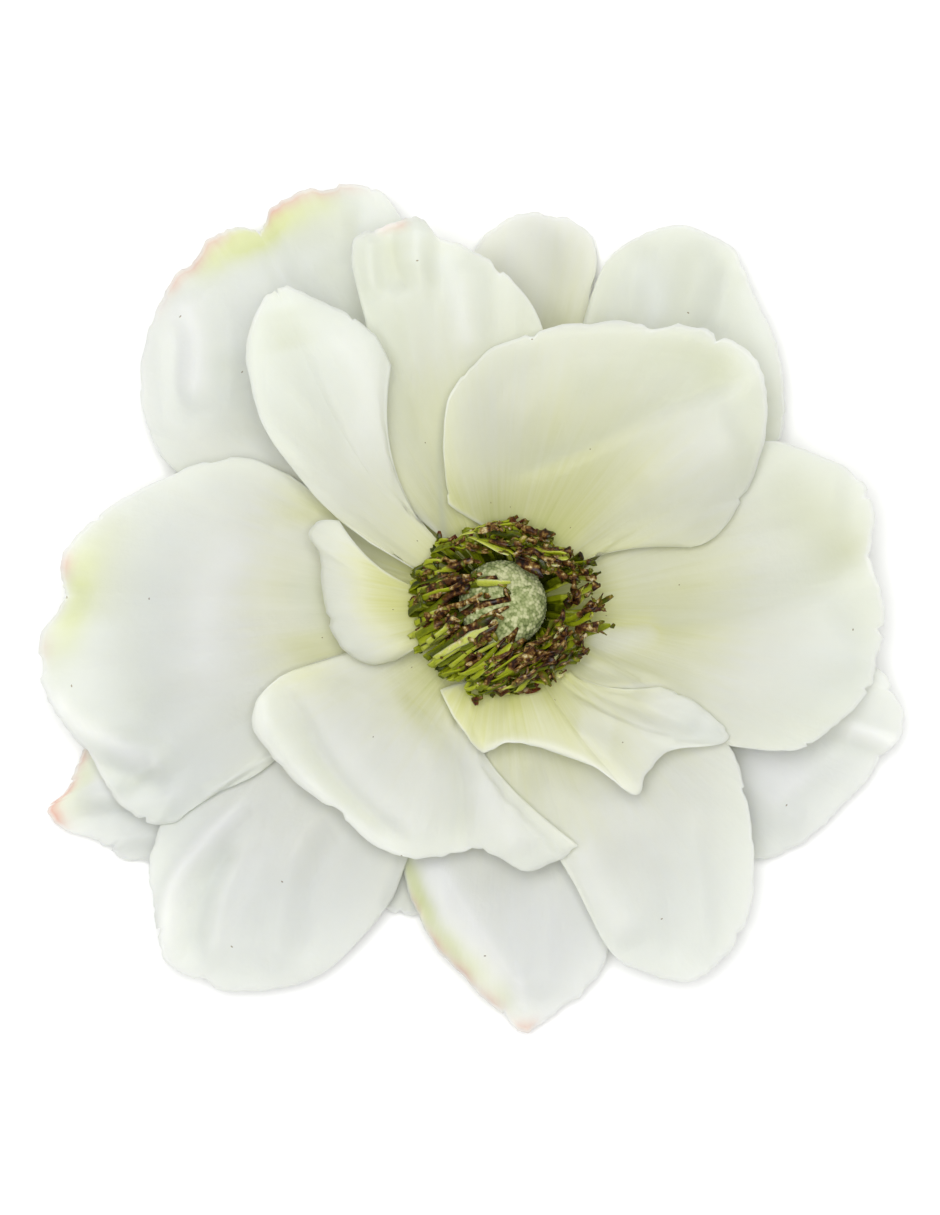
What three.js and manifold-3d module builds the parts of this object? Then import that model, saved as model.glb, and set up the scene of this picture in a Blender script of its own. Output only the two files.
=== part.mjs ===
// A cut anemone bloom lying face up: nineteen petals in six tiers on a short receptacle, round a swept ring of
// stamens and a domed pistil. Millimetres, +Z up, with +Y towards the top of the bloom as it is looked down on.
import * as THREE from 'three';
import { mergeVertices } from 'three/addons/utils/BufferGeometryUtils.js';
import Module from 'manifold-3d';

const wasm = await Module();
wasm.setup();

// Driving dimensions
const BLADE = 0.6;          // thickness of a petal
const CLAW_RING = 5.6;      // radius of the ring on which the petals start, at their narrow claws
const LOWEST_CLAW = 3.6;    // height of the lowest tier of claws
const TIER_STEP = 1.1;      // from one tier of claws to the next
const SEAT_GAP = 0.3;       // between the receptacle and what it carries
const LAY_GAP = 0.45;       // least air between two petals that lie on each other
const STEM_RADIUS = 1.7;    // of the cut stem under the bloom
const STEM_END = 0.4;       // height of the cut above the surface that the bloom lies on
const PISTIL_RADIUS = 4.95;
const PISTIL_LEAN = 0.19;   // radians
const PISTIL_TOWARDS = new THREE.Vector2(0.5, 0.87);   // the side that it leans to
const BULGE = new THREE.Vector2(-0.9, -0.2);   // where the ring of stamens bulges to
const SWEEP = new THREE.Vector2(3.1, 1.2);   // how far the tips of the stamens are swept to one side

const HEAD_TOP = LOWEST_CLAW + 5 * TIER_STEP + 0.5;     // top of the receptacle

// How finely a petal is worked out while it is laid, and which of those steps its solid keeps
const LAY_ROWS = 20;        // from claw to margin
const LAY_COLUMNS = 24;     // from flank to flank
const SOLID_STEP = 2;

// The petals from the lowest to the highest, in the order in which they are laid. The claw has a tier, a bearing in
// degrees counter-clockwise from +X and a half angle; rise is how steeply the petal leaves it. The margin goes
// counter-clockwise from one flank to the other by points of [x, y, height, lean], where a positive lean turns the
// margin down and a negative one turns it up. A fold is [place across, half width, height, start from the claw].
// Bow is how far the first and the last flank bend counter-clockwise, as a share of their length.
const PETALS = [
  {
    name: 'petal_back_left', tier: 0, bearing: 160, half: 18, rise: -0.05,
    folds: [],
    margin: [
      [-16, 15, 3, 1], [-25.5, 20.5, 1.5, 1.5], [-33, 20, 0.6, 1.5], [-38, 16.5, 0.3, 1], [-40, 11, -0.5, 1],
      [-38.5, 5.5, -0.5, 1], [-31, 2, 1, 1], [-17.5, -1.5, 3, 1],
    ],
  },
  {
    name: 'petal_back_low', tier: 0, bearing: 250, half: 18, rise: -0.05,
    folds: [],
    margin: [
      [-13.5, -11, 3.2, 1], [-19, -22.5, 1.6, 1], [-17, -32, 1.4, 0.5], [-12, -36, 1.6, 0],
      [-5.5, -34.5, 1, 0.5], [-1, -27.5, 1.4, 1], [1.5, -15.5, 3.2, 1],
    ],
  },
  {
    name: 'petal_back_right', tier: 0, bearing: 12, half: 18, rise: -0.05,
    folds: [],
    margin: [
      [14, -8.5, 3, 1], [28.5, -6.5, 0.8, 1], [39, 0, -0.5, 1], [41.5, 8, -0.6, 1], [38, 15.5, -0.2, 1],
      [28.5, 18.5, 1.2, 1], [15.5, 11.5, 3, 1],
    ],
  },
  {
    name: 'petal_outer_left_low', tier: 1, bearing: 205, half: 16, rise: -0.05,
    folds: [],
    margin: [
      [-29.5, -4, 4, 1], [-42.5, -11, 3, 1.5], [-48, -15.5, 3, 1.5], [-49.5, -18, 3, 1], [-51, -21.5, 2.8, 1],
      [-53, -23.5, 2.6, 1], [-51.5, -26, 2.2, 1], [-48.5, -27, 2, 1], [-46.5, -28, 1.8, 1],
      [-44.5, -29.5, 1.5, 1], [-41.5, -30, 1.4, 1], [-40.5, -33, 1.2, 1], [-32.5, -31, 1.5, 1],
      [-20.5, -22, 3.5, 1],
    ],
  },
  {
    name: 'petal_outer_right_low', tier: 1, bearing: 326, half: 16, rise: 0,
    folds: [],
    margin: [
      [14, -19.5, 4, 1], [23.5, -28, 2.5, 1], [30.5, -29.5, 2, 1], [34, -28.5, 2.2, 1], [37, -26.5, 2.5, 1],
      [40, -23.5, 2.8, 0.7], [42.5, -21, 3.2, 0.5], [44.5, -17.5, 4, 0], [46.5, -15.5, 5.5, 0],
      [47, -12, 7.2, 0], [45.5, -9.5, 8, -0.5], [44.5, -7.5, 8, -1], [38.5, -3.5, 6, 0], [28, -1.5, 5, 0],
    ],
  },
  {
    name: 'petal_outer_top', tier: 1, bearing: 93, half: 16, rise: 0,
    folds: [],
    margin: [
      [10.5, 26.5, 4, 1], [10.5, 36, 2.5, 1], [11.5, 40.5, 2, 1], [10.5, 44, 1.5, 1], [7.5, 46, 1.3, 1],
      [3, 46.5, 1.3, 1], [-0.5, 45, 1.5, 1], [-3, 42, 2, 1], [-4.5, 34, 3, 1], [-4, 22, 4, 1],
    ],
  },
  {
    name: 'petal_outer_low', tier: 1, bearing: 268, half: 16, rise: 0,
    folds: [],
    margin: [
      [-8, -15.5, 4.5, 1], [-11, -22.5, 4, 1], [-11.5, -29.5, 4, 1], [-10, -35, 4, 1.5],
      [-7.5, -39.5, 3.8, 1.5], [-4, -43.5, 3.2, 1.5], [0, -47.5, 2.5, 1.5], [3, -50, 2, 1.5],
      [6.5, -47.5, 2.5, 1.5], [10.5, -44.5, 3, 1.5], [13, -39.5, 3.5, 1], [13.5, -32, 4, 1],
      [9.5, -20, 4.5, 1],
    ],
  },
  {
    name: 'petal_outer_left_high', tier: 2, bearing: 138, half: 17, rise: 0,
    folds: [],
    margin: [
      [-5.5, 27, 6, 0], [-8.5, 38, 6, 0], [-11.5, 45.5, 6, 0], [-14.5, 49, 6, 1], [-19, 49.5, 6, 1],
      [-23.5, 48.5, 5.8, 1.2], [-26.5, 47, 5.5, 1.5], [-28, 44.5, 5, 1.5], [-31, 44.5, 5.2, 1.5],
      [-34, 43, 5.2, 1.5], [-36, 40.5, 5, 1.5], [-38.5, 38.5, 5, 1.5], [-40, 35, 5, 1.5], [-41.5, 31, 5, 1.5],
      [-42, 25.5, 5, 1.5], [-41, 20.5, 5, 1.5], [-38.5, 16.5, 5, 1], [-30.5, 10.5, 5.5, 1], [-20, 5.5, 6, 0],
    ],
  },
  {
    name: 'petal_outer_low_left', tier: 2, bearing: 232, half: 17, rise: 0,
    folds: [],
    margin: [
      [-25, -9.5, 5.5, 0], [-33.5, -16, 6, 0], [-38, -22, 6, 0], [-40, -26.5, 6, -0.3], [-41, -30.5, 6, -0.5],
      [-40.5, -34.5, 5.8, -0.5], [-40, -38.5, 5.5, 0], [-38, -42.5, 5, 1], [-30.5, -45, 4, 1.5],
      [-22, -43.5, 4, 1.5], [-16.5, -39, 4.5, 1.5], [-12.5, -34, 4.8, 1.2],
    ],
  },
  {
    name: 'petal_outer_right_high', tier: 2, bearing: 58, half: 17, rise: 0,
    folds: [],
    margin: [
      [25.5, 12.5, 6, 0], [32.5, 19.5, 6, 0], [33, 26.5, 6.5, 0], [32, 32, 6.5, 0], [29.5, 37, 6, 0.5],
      [27.5, 41.5, 5.5, 1], [22, 44.5, 5, 1], [16.5, 43.5, 5, 1], [12.5, 40.5, 5.5, 1], [10.5, 36, 5.5, 0],
    ],
  },
  {
    name: 'petal_outer_left', tier: 3, bearing: 179, half: 18, rise: 0,
    folds: [],
    margin: [
      [-24.5, 15.5, 9, -1], [-29.5, 17.5, 9.5, -1], [-34, 17, 9.5, -1], [-39, 15, 9.5, -1],
      [-44, 12.5, 9, -0.5], [-48, 9.5, 9, 0], [-50.5, 6.5, 8.8, 0.5], [-51, 3.5, 8.3, 0.7],
      [-50.5, 1.5, 7.6, 1], [-52, -1, 8, 1], [-53.5, -3.5, 8, 1], [-53.5, -8, 7.5, 1], [-52, -11.5, 7.5, 1],
      [-49.5, -15, 7, 1], [-47.5, -17.5, 7, 1.5], [-46, -20.5, 7, 1.5], [-44, -23, 6.5, 1.5],
      [-41, -25, 6.5, 1.5], [-38, -25, 6.5, 1.5], [-36, -23.5, 7, 1], [-33, -21.5, 7, 0.7],
      [-28.5, -19.5, 7.5, 0], [-23.5, -15.5, 7.5, 0], [-13, -8.5, 7.5, 0],
    ],
  },
  {
    name: 'petal_outer_low_right', tier: 3, bearing: 298, half: 17, rise: 0.06,
    folds: [],
    margin: [
      [-2.5, -18.5, 9, 0], [7, -29.5, 7.7, 0], [12.5, -39.5, 6.5, 1], [16.5, -42.5, 6, 1], [22, -43.5, 6, 1],
      [26.5, -40.5, 6.5, 1], [29, -35.5, 7.5, 0], [29.5, -30, 8.5, -0.5], [28.5, -22, 10, -1],
      [26.5, -16, 11, -1], [22.5, -11.5, 11.3, -1], [18.5, -9.5, 11, -0.5],
    ],
  },
  {
    name: 'petal_inner_right', tier: 4, bearing: 357, half: 20, rise: 0.02,
    folds: [],
    margin: [
      [7.5, -7.5, 11, -1], [11.5, -9.5, 11.8, -1], [17.5, -11, 11.5, -1], [23, -14, 11, -1], [27, -16, 11, -1],
      [33.5, -16.5, 11, -0.5], [37, -15, 10.5, 0], [40, -12.5, 11, -0.5], [42.5, -9.5, 11, -1],
      [43.5, -6, 11, -1], [44.5, -1.5, 11, -1], [44, 2.5, 11.2, -1], [42.5, 6, 11.5, -1], [43, 9, 12, -1],
      [42.5, 13, 12, -1], [40, 16, 12, -1], [34.5, 18.5, 12, -1], [29.5, 19, 11, -1], [21, 14.5, 11, -1],
    ],
  },
  {
    name: 'petal_inner_low_left', tier: 4, bearing: 215, half: 20, rise: 0.02, bow: [0, -0.14],
    folds: [[0.3, 0.08, -0.6, 0.3]],
    margin: [
      [-22, -6.5, 10.5, -1.5], [-25.5, -8, 11.3, -1], [-28, -10.5, 11.5, -0.5], [-28.5, -13.5, 11.5, 0],
      [-26.5, -17, 11.3, 0], [-23, -20.5, 11.2, 0], [-18.5, -24, 10.8, 0], [-15, -27, 10.5, 0],
      [-11.5, -28.5, 10.3, 0.5], [-8, -29, 10, 1], [-5.5, -28.5, 9.8, 1], [-3, -28, 9.8, 1],
      [0, -29, 9.6, 1.2], [3, -30.5, 9.5, 1.3], [6.5, -29.5, 9.7, 1], [9, -27.5, 10.2, 0.5],
    ],
  },
  {
    name: 'petal_inner_top', tier: 4, bearing: 104, half: 20, rise: 0.05,
    folds: [],
    margin: [
      [4.5, 27, 13, -1], [5, 31.5, 14, -1], [3.5, 35, 14.5, -1], [1, 38, 15, -0.5], [-1.5, 40, 15.2, 0],
      [-4, 41.5, 15.5, 0], [-7, 42.5, 15.5, 0.5], [-9, 44.5, 15.8, 1], [-11.5, 44.5, 15.8, 1],
      [-14.5, 43.5, 15.8, 1], [-16.5, 42.5, 15.3, 1], [-17, 40, 15, 0.5], [-16.5, 37, 14.8, 0],
      [-15.5, 33, 14.6, -0.5], [-14.5, 28.5, 14.2, -1], [-13.5, 21.5, 13.5, -1.5], [-12, 12.5, 12, -1],
    ],
  },
  {
    name: 'petal_inner_left_high', tier: 5, bearing: 142, half: 17, rise: 0.12, bow: [0.2, 0],
    folds: [],
    margin: [
      [-12.5, 27.5, 17.5, -0.5], [-14, 30.5, 18.2, 0], [-16.5, 33, 18.5, 0], [-19.5, 34.5, 18.8, 0],
      [-23, 36, 19, 0.5], [-25, 36.5, 19.3, 0.5], [-26, 36, 19.2, 0], [-27.5, 34, 19, -1], [-29, 30, 18, -1.5],
      [-28.5, 25.5, 17, -2], [-27, 20.5, 15.5, -2], [-23.5, 15.5, 14, -1.8], [-19.5, 11, 12.5, -1],
      [-15, 7.5, 12, -1],
    ],
  },
  {
    name: 'petal_inner_left', tier: 5, bearing: 182, half: 20, rise: 0.3, bow: [0.16, 0],
    folds: [],
    margin: [
      [-18.5, 10, 13.6, 1.5], [-21, 10, 13, 2.5], [-22, 8.5, 12.6, 2.7], [-21, 6.5, 12.6, 3],
      [-20.5, 4.5, 12.6, 3], [-20.5, 2, 12.2, 3.4], [-20, -1, 12, 3.6], [-19, -3.5, 12, 3.6],
      [-17.5, -5.5, 12, 3.2], [-15, -6.5, 12, 2.8], [-12, -6, 12, 1.5],
    ],
  },
  {
    name: 'petal_inner_right_high', tier: 5, bearing: 50, half: 20, rise: 0.08, bow: [0.1, 0],
    folds: [],
    margin: [
      [22, 7, 11.8, 0], [24.5, 8, 12, 0], [28, 12.5, 13, -0.3], [30, 18.5, 14.8, -0.7], [30.5, 24, 16.2, -1],
      [28.5, 29, 17.3, -1], [24, 31.5, 17.5, -0.5], [17, 32.5, 17.5, 0], [10, 32.5, 17.5, 0],
      [3.5, 31.5, 17.3, -0.5], [-2.5, 28.5, 16.8, -1.5], [-6, 24, 15.8, -2], [-6.5, 18, 14.3, -2],
      [-6, 12, 12.3, -1],
    ],
  },
  {
    name: 'petal_inner_low_right', tier: 5, bearing: 302, half: 20, rise: 0.08, bow: [0, -0.2],
    folds: [],
    margin: [
      [-7, -9.5, 11.3, -1], [-4.5, -14, 12.3, -1], [-2, -16.5, 12.6, -0.3], [1, -15.5, 13, 0],
      [6, -16.5, 13.1, 0], [11, -18.5, 12.8, 0], [15.5, -21.5, 11.8, 0], [17, -19, 12.6, -0.5],
      [19.5, -16.5, 13.2, -1], [26, -15.5, 12.4, 0], [25, -13, 13.2, -0.3], [22, -10.5, 13.2, -0.5],
      [18.5, -9, 12.8, -1],
    ],
  },
];

// The stamens, in whorls: how many, how far out they bulge, the reach of their tips and the height of their tips
const WHORLS = [
  { count: 26, bulge: 8.4, reach: 6.3, top: 17.6 },
  { count: 32, bulge: 9.8, reach: 8.1, top: 15.8 },
];
const FILAMENT_WIDTH = 0.9;
const ANTHER_WIDTH = 1.3;
const COLLAR_RADIUS = CLAW_RING - 0.35;     // of the ring that the filaments spring from
const COLLAR_BORE = 3.4;
const COLLAR_HEIGHT = 1;

const petalMaterial = new THREE.MeshStandardMaterial({ color: 0xf1f3ec, roughness: 0.7, metalness: 0 });
const stemMaterial = new THREE.MeshStandardMaterial({ color: 0xa9b46a, roughness: 0.7, metalness: 0 });
const stamenMaterial = new THREE.MeshStandardMaterial({ color: 0x75801c, roughness: 0.6, metalness: 0 });
const pistilMaterial = new THREE.MeshStandardMaterial({ color: 0x8b9a7c, roughness: 0.8, metalness: 0 });

// The same run of numbers from 0 to 1 for the same seed
function seededRandom(seed) {
  let state = seed;
  return () => {
    state = (state + 0x6d2b79f5) | 0;
    let mixed = Math.imul(state ^ (state >>> 15), 1 | state);
    mixed = (mixed + Math.imul(mixed ^ (mixed >>> 7), 61 | mixed)) ^ mixed;
    return ((mixed ^ (mixed >>> 14)) >>> 0) / 4294967296;
  };
}

// A smooth curve through rows of numbers, at t from 0 to 1: a uniform Catmull-Rom spline with straight run-outs
function splineAt(rows, t) {
  const last = rows.length - 1;
  const place = THREE.MathUtils.clamp(t, 0, 1) * last;
  const index = Math.min(Math.floor(place), last - 1);
  const f = place - index;
  const runOut = (end, next) => end.map((value, k) => 2 * value - next[k]);
  const before = index > 0 ? rows[index - 1] : runOut(rows[0], rows[1]);
  const after = index + 2 <= last ? rows[index + 2] : runOut(rows[last], rows[last - 1]);
  return rows[index].map((b, k) => {
    const [a, c, d] = [before[k], rows[index + 1][k], after[k]];
    const curve = 2 * b + (c - a) * f + (2 * a - 5 * b + 4 * c - d) * f ** 2 + (3 * b - a - 3 * c + d) * f ** 3;
    return curve / 2;
  });
}

// The middle of a petal's blade: u goes from the claw, 0, to the margin, 1, and v from flank to flank. Each rib of
// constant v is a cubic Bezier curve that leaves the claw outwards and comes to the margin at its lean.
function bladePoint(petal, u, v) {
  const [x, y, height, lean] = splineAt(petal.margin, v);
  const bearing = THREE.MathUtils.degToRad(petal.bearing + (2 * v - 1) * petal.half);
  const outward = new THREE.Vector2(Math.cos(bearing), Math.sin(bearing));
  const claw = outward.clone().multiplyScalar(CLAW_RING);
  const clawHeight = LOWEST_CLAW + TIER_STEP * petal.tier;
  const chord = new THREE.Vector2(x, y).sub(claw);
  const length = chord.length();
  const leave = outward.clone().addScaledVector(chord, 1 / length).normalize();
  const [bowFirst, bowLast] = petal.bow ?? [0, 0];
  const bow = bowFirst * (1 - v) ** 2 + bowLast * v ** 2;
  const sideways = new THREE.Vector2(-chord.y, chord.x).multiplyScalar(bow);
  const first = claw.clone().addScaledVector(leave, length / 3).add(sideways);
  const second = claw.clone().addScaledVector(chord, 0.68).add(sideways);
  const rib = new THREE.CubicBezierCurve3(
    new THREE.Vector3(claw.x, claw.y, clawHeight),
    new THREE.Vector3(first.x, first.y, clawHeight + petal.rise * length),
    new THREE.Vector3(second.x, second.y, height + lean),
    new THREE.Vector3(x, y, height),
  );
  const point = rib.getPoint(u);
  for (const [across, halfWidth, rise, start] of petal.folds) {
    const along = THREE.MathUtils.smoothstep(u, start, 1);
    point.z += rise * along * Math.exp(-(((v - across) / halfWidth) ** 2));
  }
  return point;
}

// Rows and columns of values worked out for every step of a petal
function gridOf(rows, columns, value) {
  return Array.from({ length: rows + 1 }, (_, i) => Array.from({ length: columns + 1 }, (_, j) => value(i, j)));
}

// The upward normal of the blade at each node of its grid
function gridNormals(grid) {
  const rows = grid.length - 1;
  const columns = grid[0].length - 1;
  return gridOf(rows, columns, (i, j) => {
    const along = grid[Math.min(i + 1, rows)][j].clone().sub(grid[Math.max(i - 1, 0)][j]);
    const across = grid[i][Math.min(j + 1, columns)].clone().sub(grid[i][Math.max(j - 1, 0)]);
    return along.cross(across).normalize();
  });
}

// The heap is a map of how high the laid petals reach over each square of the surface
const CELL = 0.8;
const CELLS = 160;
const heap = new Float64Array(CELLS * CELLS).fill(-Infinity);
const cellOf = (coordinate) => THREE.MathUtils.clamp(Math.floor(coordinate / CELL + CELLS / 2), 1, CELLS - 2);

function heapHeight(x, y) {
  const [column, row] = [cellOf(x), cellOf(y)];
  let highest = -Infinity;
  for (let i = -1; i <= 1; i += 1) {
    for (let j = -1; j <= 1; j += 1) highest = Math.max(highest, heap[(column + i) * CELLS + row + j]);
  }
  return highest;
}

function addToHeap(grid, halfHeights) {
  const finer = 4;
  for (let i = 0; i < LAY_ROWS * finer; i += 1) {
    for (let j = 0; j < LAY_COLUMNS * finer; j += 1) {
      const [row, column] = [Math.floor(i / finer), Math.floor(j / finer)];
      const [f, g] = [(i % finer) / finer, (j % finer) / finer];
      const near = grid[row][column].clone().lerp(grid[row][column + 1], g);
      const far = grid[row + 1][column].clone().lerp(grid[row + 1][column + 1], g);
      const point = near.lerp(far, f);
      const cell = cellOf(point.x) * CELLS + cellOf(point.y);
      heap[cell] = Math.max(heap[cell], point.z + halfHeights[row][column]);
    }
  }
}

// A petal's grid, lifted where it would touch the heap, with the lift spread softly round the place, and pressed
// flat where it would go below the surface that the bloom lies on
function layPetal(petal) {
  const steepest = 0.4;
  const spreadRounds = 14;
  const grid = gridOf(LAY_ROWS, LAY_COLUMNS, (i, j) => bladePoint(petal, i / LAY_ROWS, j / LAY_COLUMNS));
  const halfHeights = gridNormals(grid).map((row) => row.map((n) => BLADE / 2 / Math.max(n.z, steepest)));
  const need = grid.map((row, i) => row.map((point, j) => {
    const wanted = heapHeight(point.x, point.y) + LAY_GAP + halfHeights[i][j] - point.z;
    return Math.max(wanted, 0) * Math.min(1, i / LAY_ROWS / 0.12);
  }));
  let lift = need;
  for (let round = 0; round < spreadRounds; round += 1) {
    const previous = lift;
    const at = (i, j) => previous[THREE.MathUtils.clamp(i, 0, LAY_ROWS)][THREE.MathUtils.clamp(j, 0, LAY_COLUMNS)];
    lift = previous.map((row, i) => row.map((value, j) => {
      const around = (at(i - 1, j) + at(i + 1, j) + at(i, j - 1) + at(i, j + 1) + 2 * value) / 6;
      return i === 0 ? 0 : Math.max(need[i][j], around);
    }));
  }
  grid.forEach((row, i) => row.forEach((point, j) => {
    point.z = Math.max(point.z + lift[i][j], BLADE / 2);
  }));
  addToHeap(grid, halfHeights);
  return grid;
}

// A closed sheet round a grid of points: both faces are cut into triangles alike
function sheetGeometry(grid, thickness) {
  const rows = grid.length;
  const columns = grid[0].length;
  const normals = gridNormals(grid);
  const positions = [];
  for (const side of [0.5, -0.5]) {
    grid.forEach((row, i) => row.forEach((point, j) => {
      const face = point.clone().addScaledVector(normals[i][j], side * thickness);
      positions.push(face.x, face.y, Math.max(face.z, 0));
    }));
  }
  const node = (i, j) => i * columns + j;
  const under = rows * columns;
  const index = [];
  for (let i = 0; i < rows - 1; i += 1) {
    for (let j = 0; j < columns - 1; j += 1) {
      const [a, b, c, d] = [node(i, j), node(i + 1, j), node(i + 1, j + 1), node(i, j + 1)];
      index.push(a, b, c, a, c, d);
      index.push(under + a, under + c, under + b, under + a, under + d, under + c);
    }
  }
  const edge = (a, b) => index.push(a, under + a, b, b, under + a, under + b);
  for (let i = 0; i < rows - 1; i += 1) {
    edge(node(i, 0), node(i + 1, 0));
    edge(node(i + 1, columns - 1), node(i, columns - 1));
  }
  for (let j = 0; j < columns - 1; j += 1) {
    edge(node(rows - 1, j), node(rows - 1, j + 1));
    edge(node(0, j + 1), node(0, j));
  }
  const geometry = new THREE.BufferGeometry();
  geometry.setAttribute('position', new THREE.Float32BufferAttribute(positions, 3));
  geometry.setIndex(index);
  geometry.computeVertexNormals();
  return geometry;
}

function turned(profile, segments) {
  return new THREE.LatheGeometry(profile.map(([r, z]) => new THREE.Vector2(r, z)), segments).rotateX(Math.PI / 2);
}

function petalMesh(petal) {
  const grid = layPetal(petal);
  const kept = grid.filter((_, i) => i % SOLID_STEP === 0).map((row) => row.filter((_, j) => j % SOLID_STEP === 0));
  const mesh = new THREE.Mesh(sheetGeometry(kept, BLADE), petalMaterial);
  mesh.name = petal.name;
  return mesh;
}

// The knob that carries the petals, drawn in to the cut stem below
function receptacleMesh() {
  const radius = CLAW_RING - SEAT_GAP;
  const geometry = turned([
    [0, STEM_END], [STEM_RADIUS, STEM_END], [STEM_RADIUS, 2.2], [radius - 0.9, 2.8], [radius, LOWEST_CLAW],
    [radius, HEAD_TOP - 0.4], [radius - 0.7, HEAD_TOP], [0, HEAD_TOP],
  ], 32);
  const mesh = new THREE.Mesh(geometry, stemMaterial);
  mesh.name = 'receptacle';
  return mesh;
}

// The dome in the middle, leaning on a round foot that stands in a seat on the receptacle
function pistilMesh() {
  const foot = 1.2;
  const geometry = turned([
    [0, -foot], [1.4, -1], [2.1, -0.2], [3.6, 0.7], [PISTIL_RADIUS - 0.2, 1.9], [PISTIL_RADIUS, 3.1],
    [PISTIL_RADIUS - 0.45, 4.2], [3.35, 5.1], [1.8, 5.6], [0, 5.75],
  ], 28);
  const mesh = new THREE.Mesh(geometry, pistilMaterial);
  mesh.name = 'pistil';
  mesh.position.z = HEAD_TOP + SEAT_GAP + foot;
  const leanAxis = new THREE.Vector3(-PISTIL_TOWARDS.y, PISTIL_TOWARDS.x, 0).normalize();
  mesh.quaternion.setFromAxisAngle(leanAxis, PISTIL_LEAN);
  return mesh;
}

// One stamen: a flat filament that bulges out of the collar and curls over, ending in a thicker anther
function stamenGeometry(angle, whorl, random) {
  const outward = new THREE.Vector3(Math.cos(angle), Math.sin(angle), 0);
  const sideways = new THREE.Vector3(-Math.sin(angle), Math.cos(angle), 0);
  const spread = (range) => (random() - 0.5) * 2 * range;
  const collarTop = HEAD_TOP + SEAT_GAP + COLLAR_HEIGHT;
  const tip = outward.clone().multiplyScalar(whorl.reach + spread(0.6));
  tip.add(new THREE.Vector3(SWEEP.x, SWEEP.y, whorl.top + spread(0.6)));
  const bulge = new THREE.Vector3(BULGE.x, BULGE.y, 0);
  const path = new THREE.CatmullRomCurve3([
    outward.clone().multiplyScalar(4.7).setZ(collarTop - 0.4),
    outward.clone().multiplyScalar(whorl.bulge * 0.78).addScaledVector(bulge, 0.5).setZ(collarTop + 1.5),
    outward.clone().multiplyScalar(whorl.bulge).add(bulge).setZ((collarTop + whorl.top) / 2 + 0.6),
    tip,
  ]);
  const sections = [
    { at: 0, width: FILAMENT_WIDTH, thickness: BLADE }, { at: 0.3, width: FILAMENT_WIDTH, thickness: BLADE },
    { at: 0.55, width: FILAMENT_WIDTH, thickness: BLADE }, { at: 0.78, width: ANTHER_WIDTH, thickness: 0.8 },
    { at: 1, width: 0.7, thickness: BLADE },
  ];
  const positions = [];
  for (const { at, width, thickness } of sections) {
    const centre = path.getPoint(at);
    if (at > 0) centre.z = Math.max(centre.z, heapHeight(centre.x, centre.y) + LAY_GAP + thickness / 2);
    const tangent = path.getTangent(at);
    const across = sideways.clone().addScaledVector(tangent, -tangent.dot(sideways)).normalize();
    const up = tangent.clone().cross(across);
    for (const [a, b] of [[1, 1], [-1, 1], [-1, -1], [1, -1]]) {
      const corner = centre.clone().addScaledVector(across, a * width / 2).addScaledVector(up, b * thickness / 2);
      positions.push(corner.x, corner.y, corner.z);
    }
  }
  const index = [0, 2, 1, 0, 3, 2];
  const last = 4 * (sections.length - 1);
  index.push(last, last + 1, last + 2, last, last + 2, last + 3);
  for (let ring = 0; ring < last; ring += 4) {
    for (let k = 0; k < 4; k += 1) {
      const [a, b] = [ring + k, ring + (k + 1) % 4];
      index.push(a, b, b + 4, a, b + 4, a + 4);
    }
  }
  const geometry = new THREE.BufferGeometry();
  geometry.setAttribute('position', new THREE.Float32BufferAttribute(positions, 3));
  geometry.setIndex(index);
  return geometry;
}

function solidOf(geometry) {
  const bare = geometry.clone();
  bare.deleteAttribute('normal');
  bare.deleteAttribute('uv');
  const merged = mergeVertices(bare);
  return new wasm.Manifold(new wasm.Mesh({
    numProp: 3,
    vertProperties: new Float32Array(merged.attributes.position.array),
    triVerts: new Uint32Array(merged.index.array),
  }));
}

function geometryOf(solid) {
  const { vertProperties, triVerts } = solid.getMesh();
  const geometry = new THREE.BufferGeometry();
  geometry.setAttribute('position', new THREE.Float32BufferAttribute(vertProperties, 3));
  geometry.setIndex(Array.from(triVerts));
  geometry.computeVertexNormals();
  return geometry;
}

// All the stamens, joined by the collar that they spring from
function stamensMesh() {
  const random = seededRandom(11);
  const bottom = HEAD_TOP + SEAT_GAP;
  const top = bottom + COLLAR_HEIGHT;
  let solid = solidOf(turned([
    [COLLAR_BORE, bottom], [COLLAR_RADIUS, bottom], [COLLAR_RADIUS, top], [COLLAR_BORE, top], [COLLAR_BORE, bottom],
  ], 32));
  for (const whorl of WHORLS) {
    for (let k = 0; k < whorl.count; k += 1) {
      const angle = 2 * Math.PI * (k + 0.5 * random()) / whorl.count;
      solid = solid.add(solidOf(stamenGeometry(angle, whorl, random)));
    }
  }
  const mesh = new THREE.Mesh(geometryOf(solid), stamenMaterial);
  mesh.name = 'stamens';
  return mesh;
}

const flower = new THREE.Group();
flower.name = 'anemone_flower';
flower.add(receptacleMesh());
for (const petal of PETALS) flower.add(petalMesh(petal));
flower.add(pistilMesh());
flower.add(stamensMesh());

// The origin is under the middle of the bloom's box, on the surface that it lies on
const middle = new THREE.Box3().setFromObject(flower).getCenter(new THREE.Vector3());
flower.position.set(-middle.x, -middle.y, 0);

export default flower;
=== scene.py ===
"""A white anemone bloom, picked and laid face up: petals in tiers round a swept ring of stamens and a domed
pistil.

Shapes are worked out in millimetres from the axis of the flower, with +Y towards the top petals, and become
metres in the frame of the part when their meshes are made. A petal's surface has two parameters: u runs from
its claw, 0, to its margin, 1, and v from its clockwise flank, 0, to its counter-clockwise flank, 1.
"""
import math
from functools import partial

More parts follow.
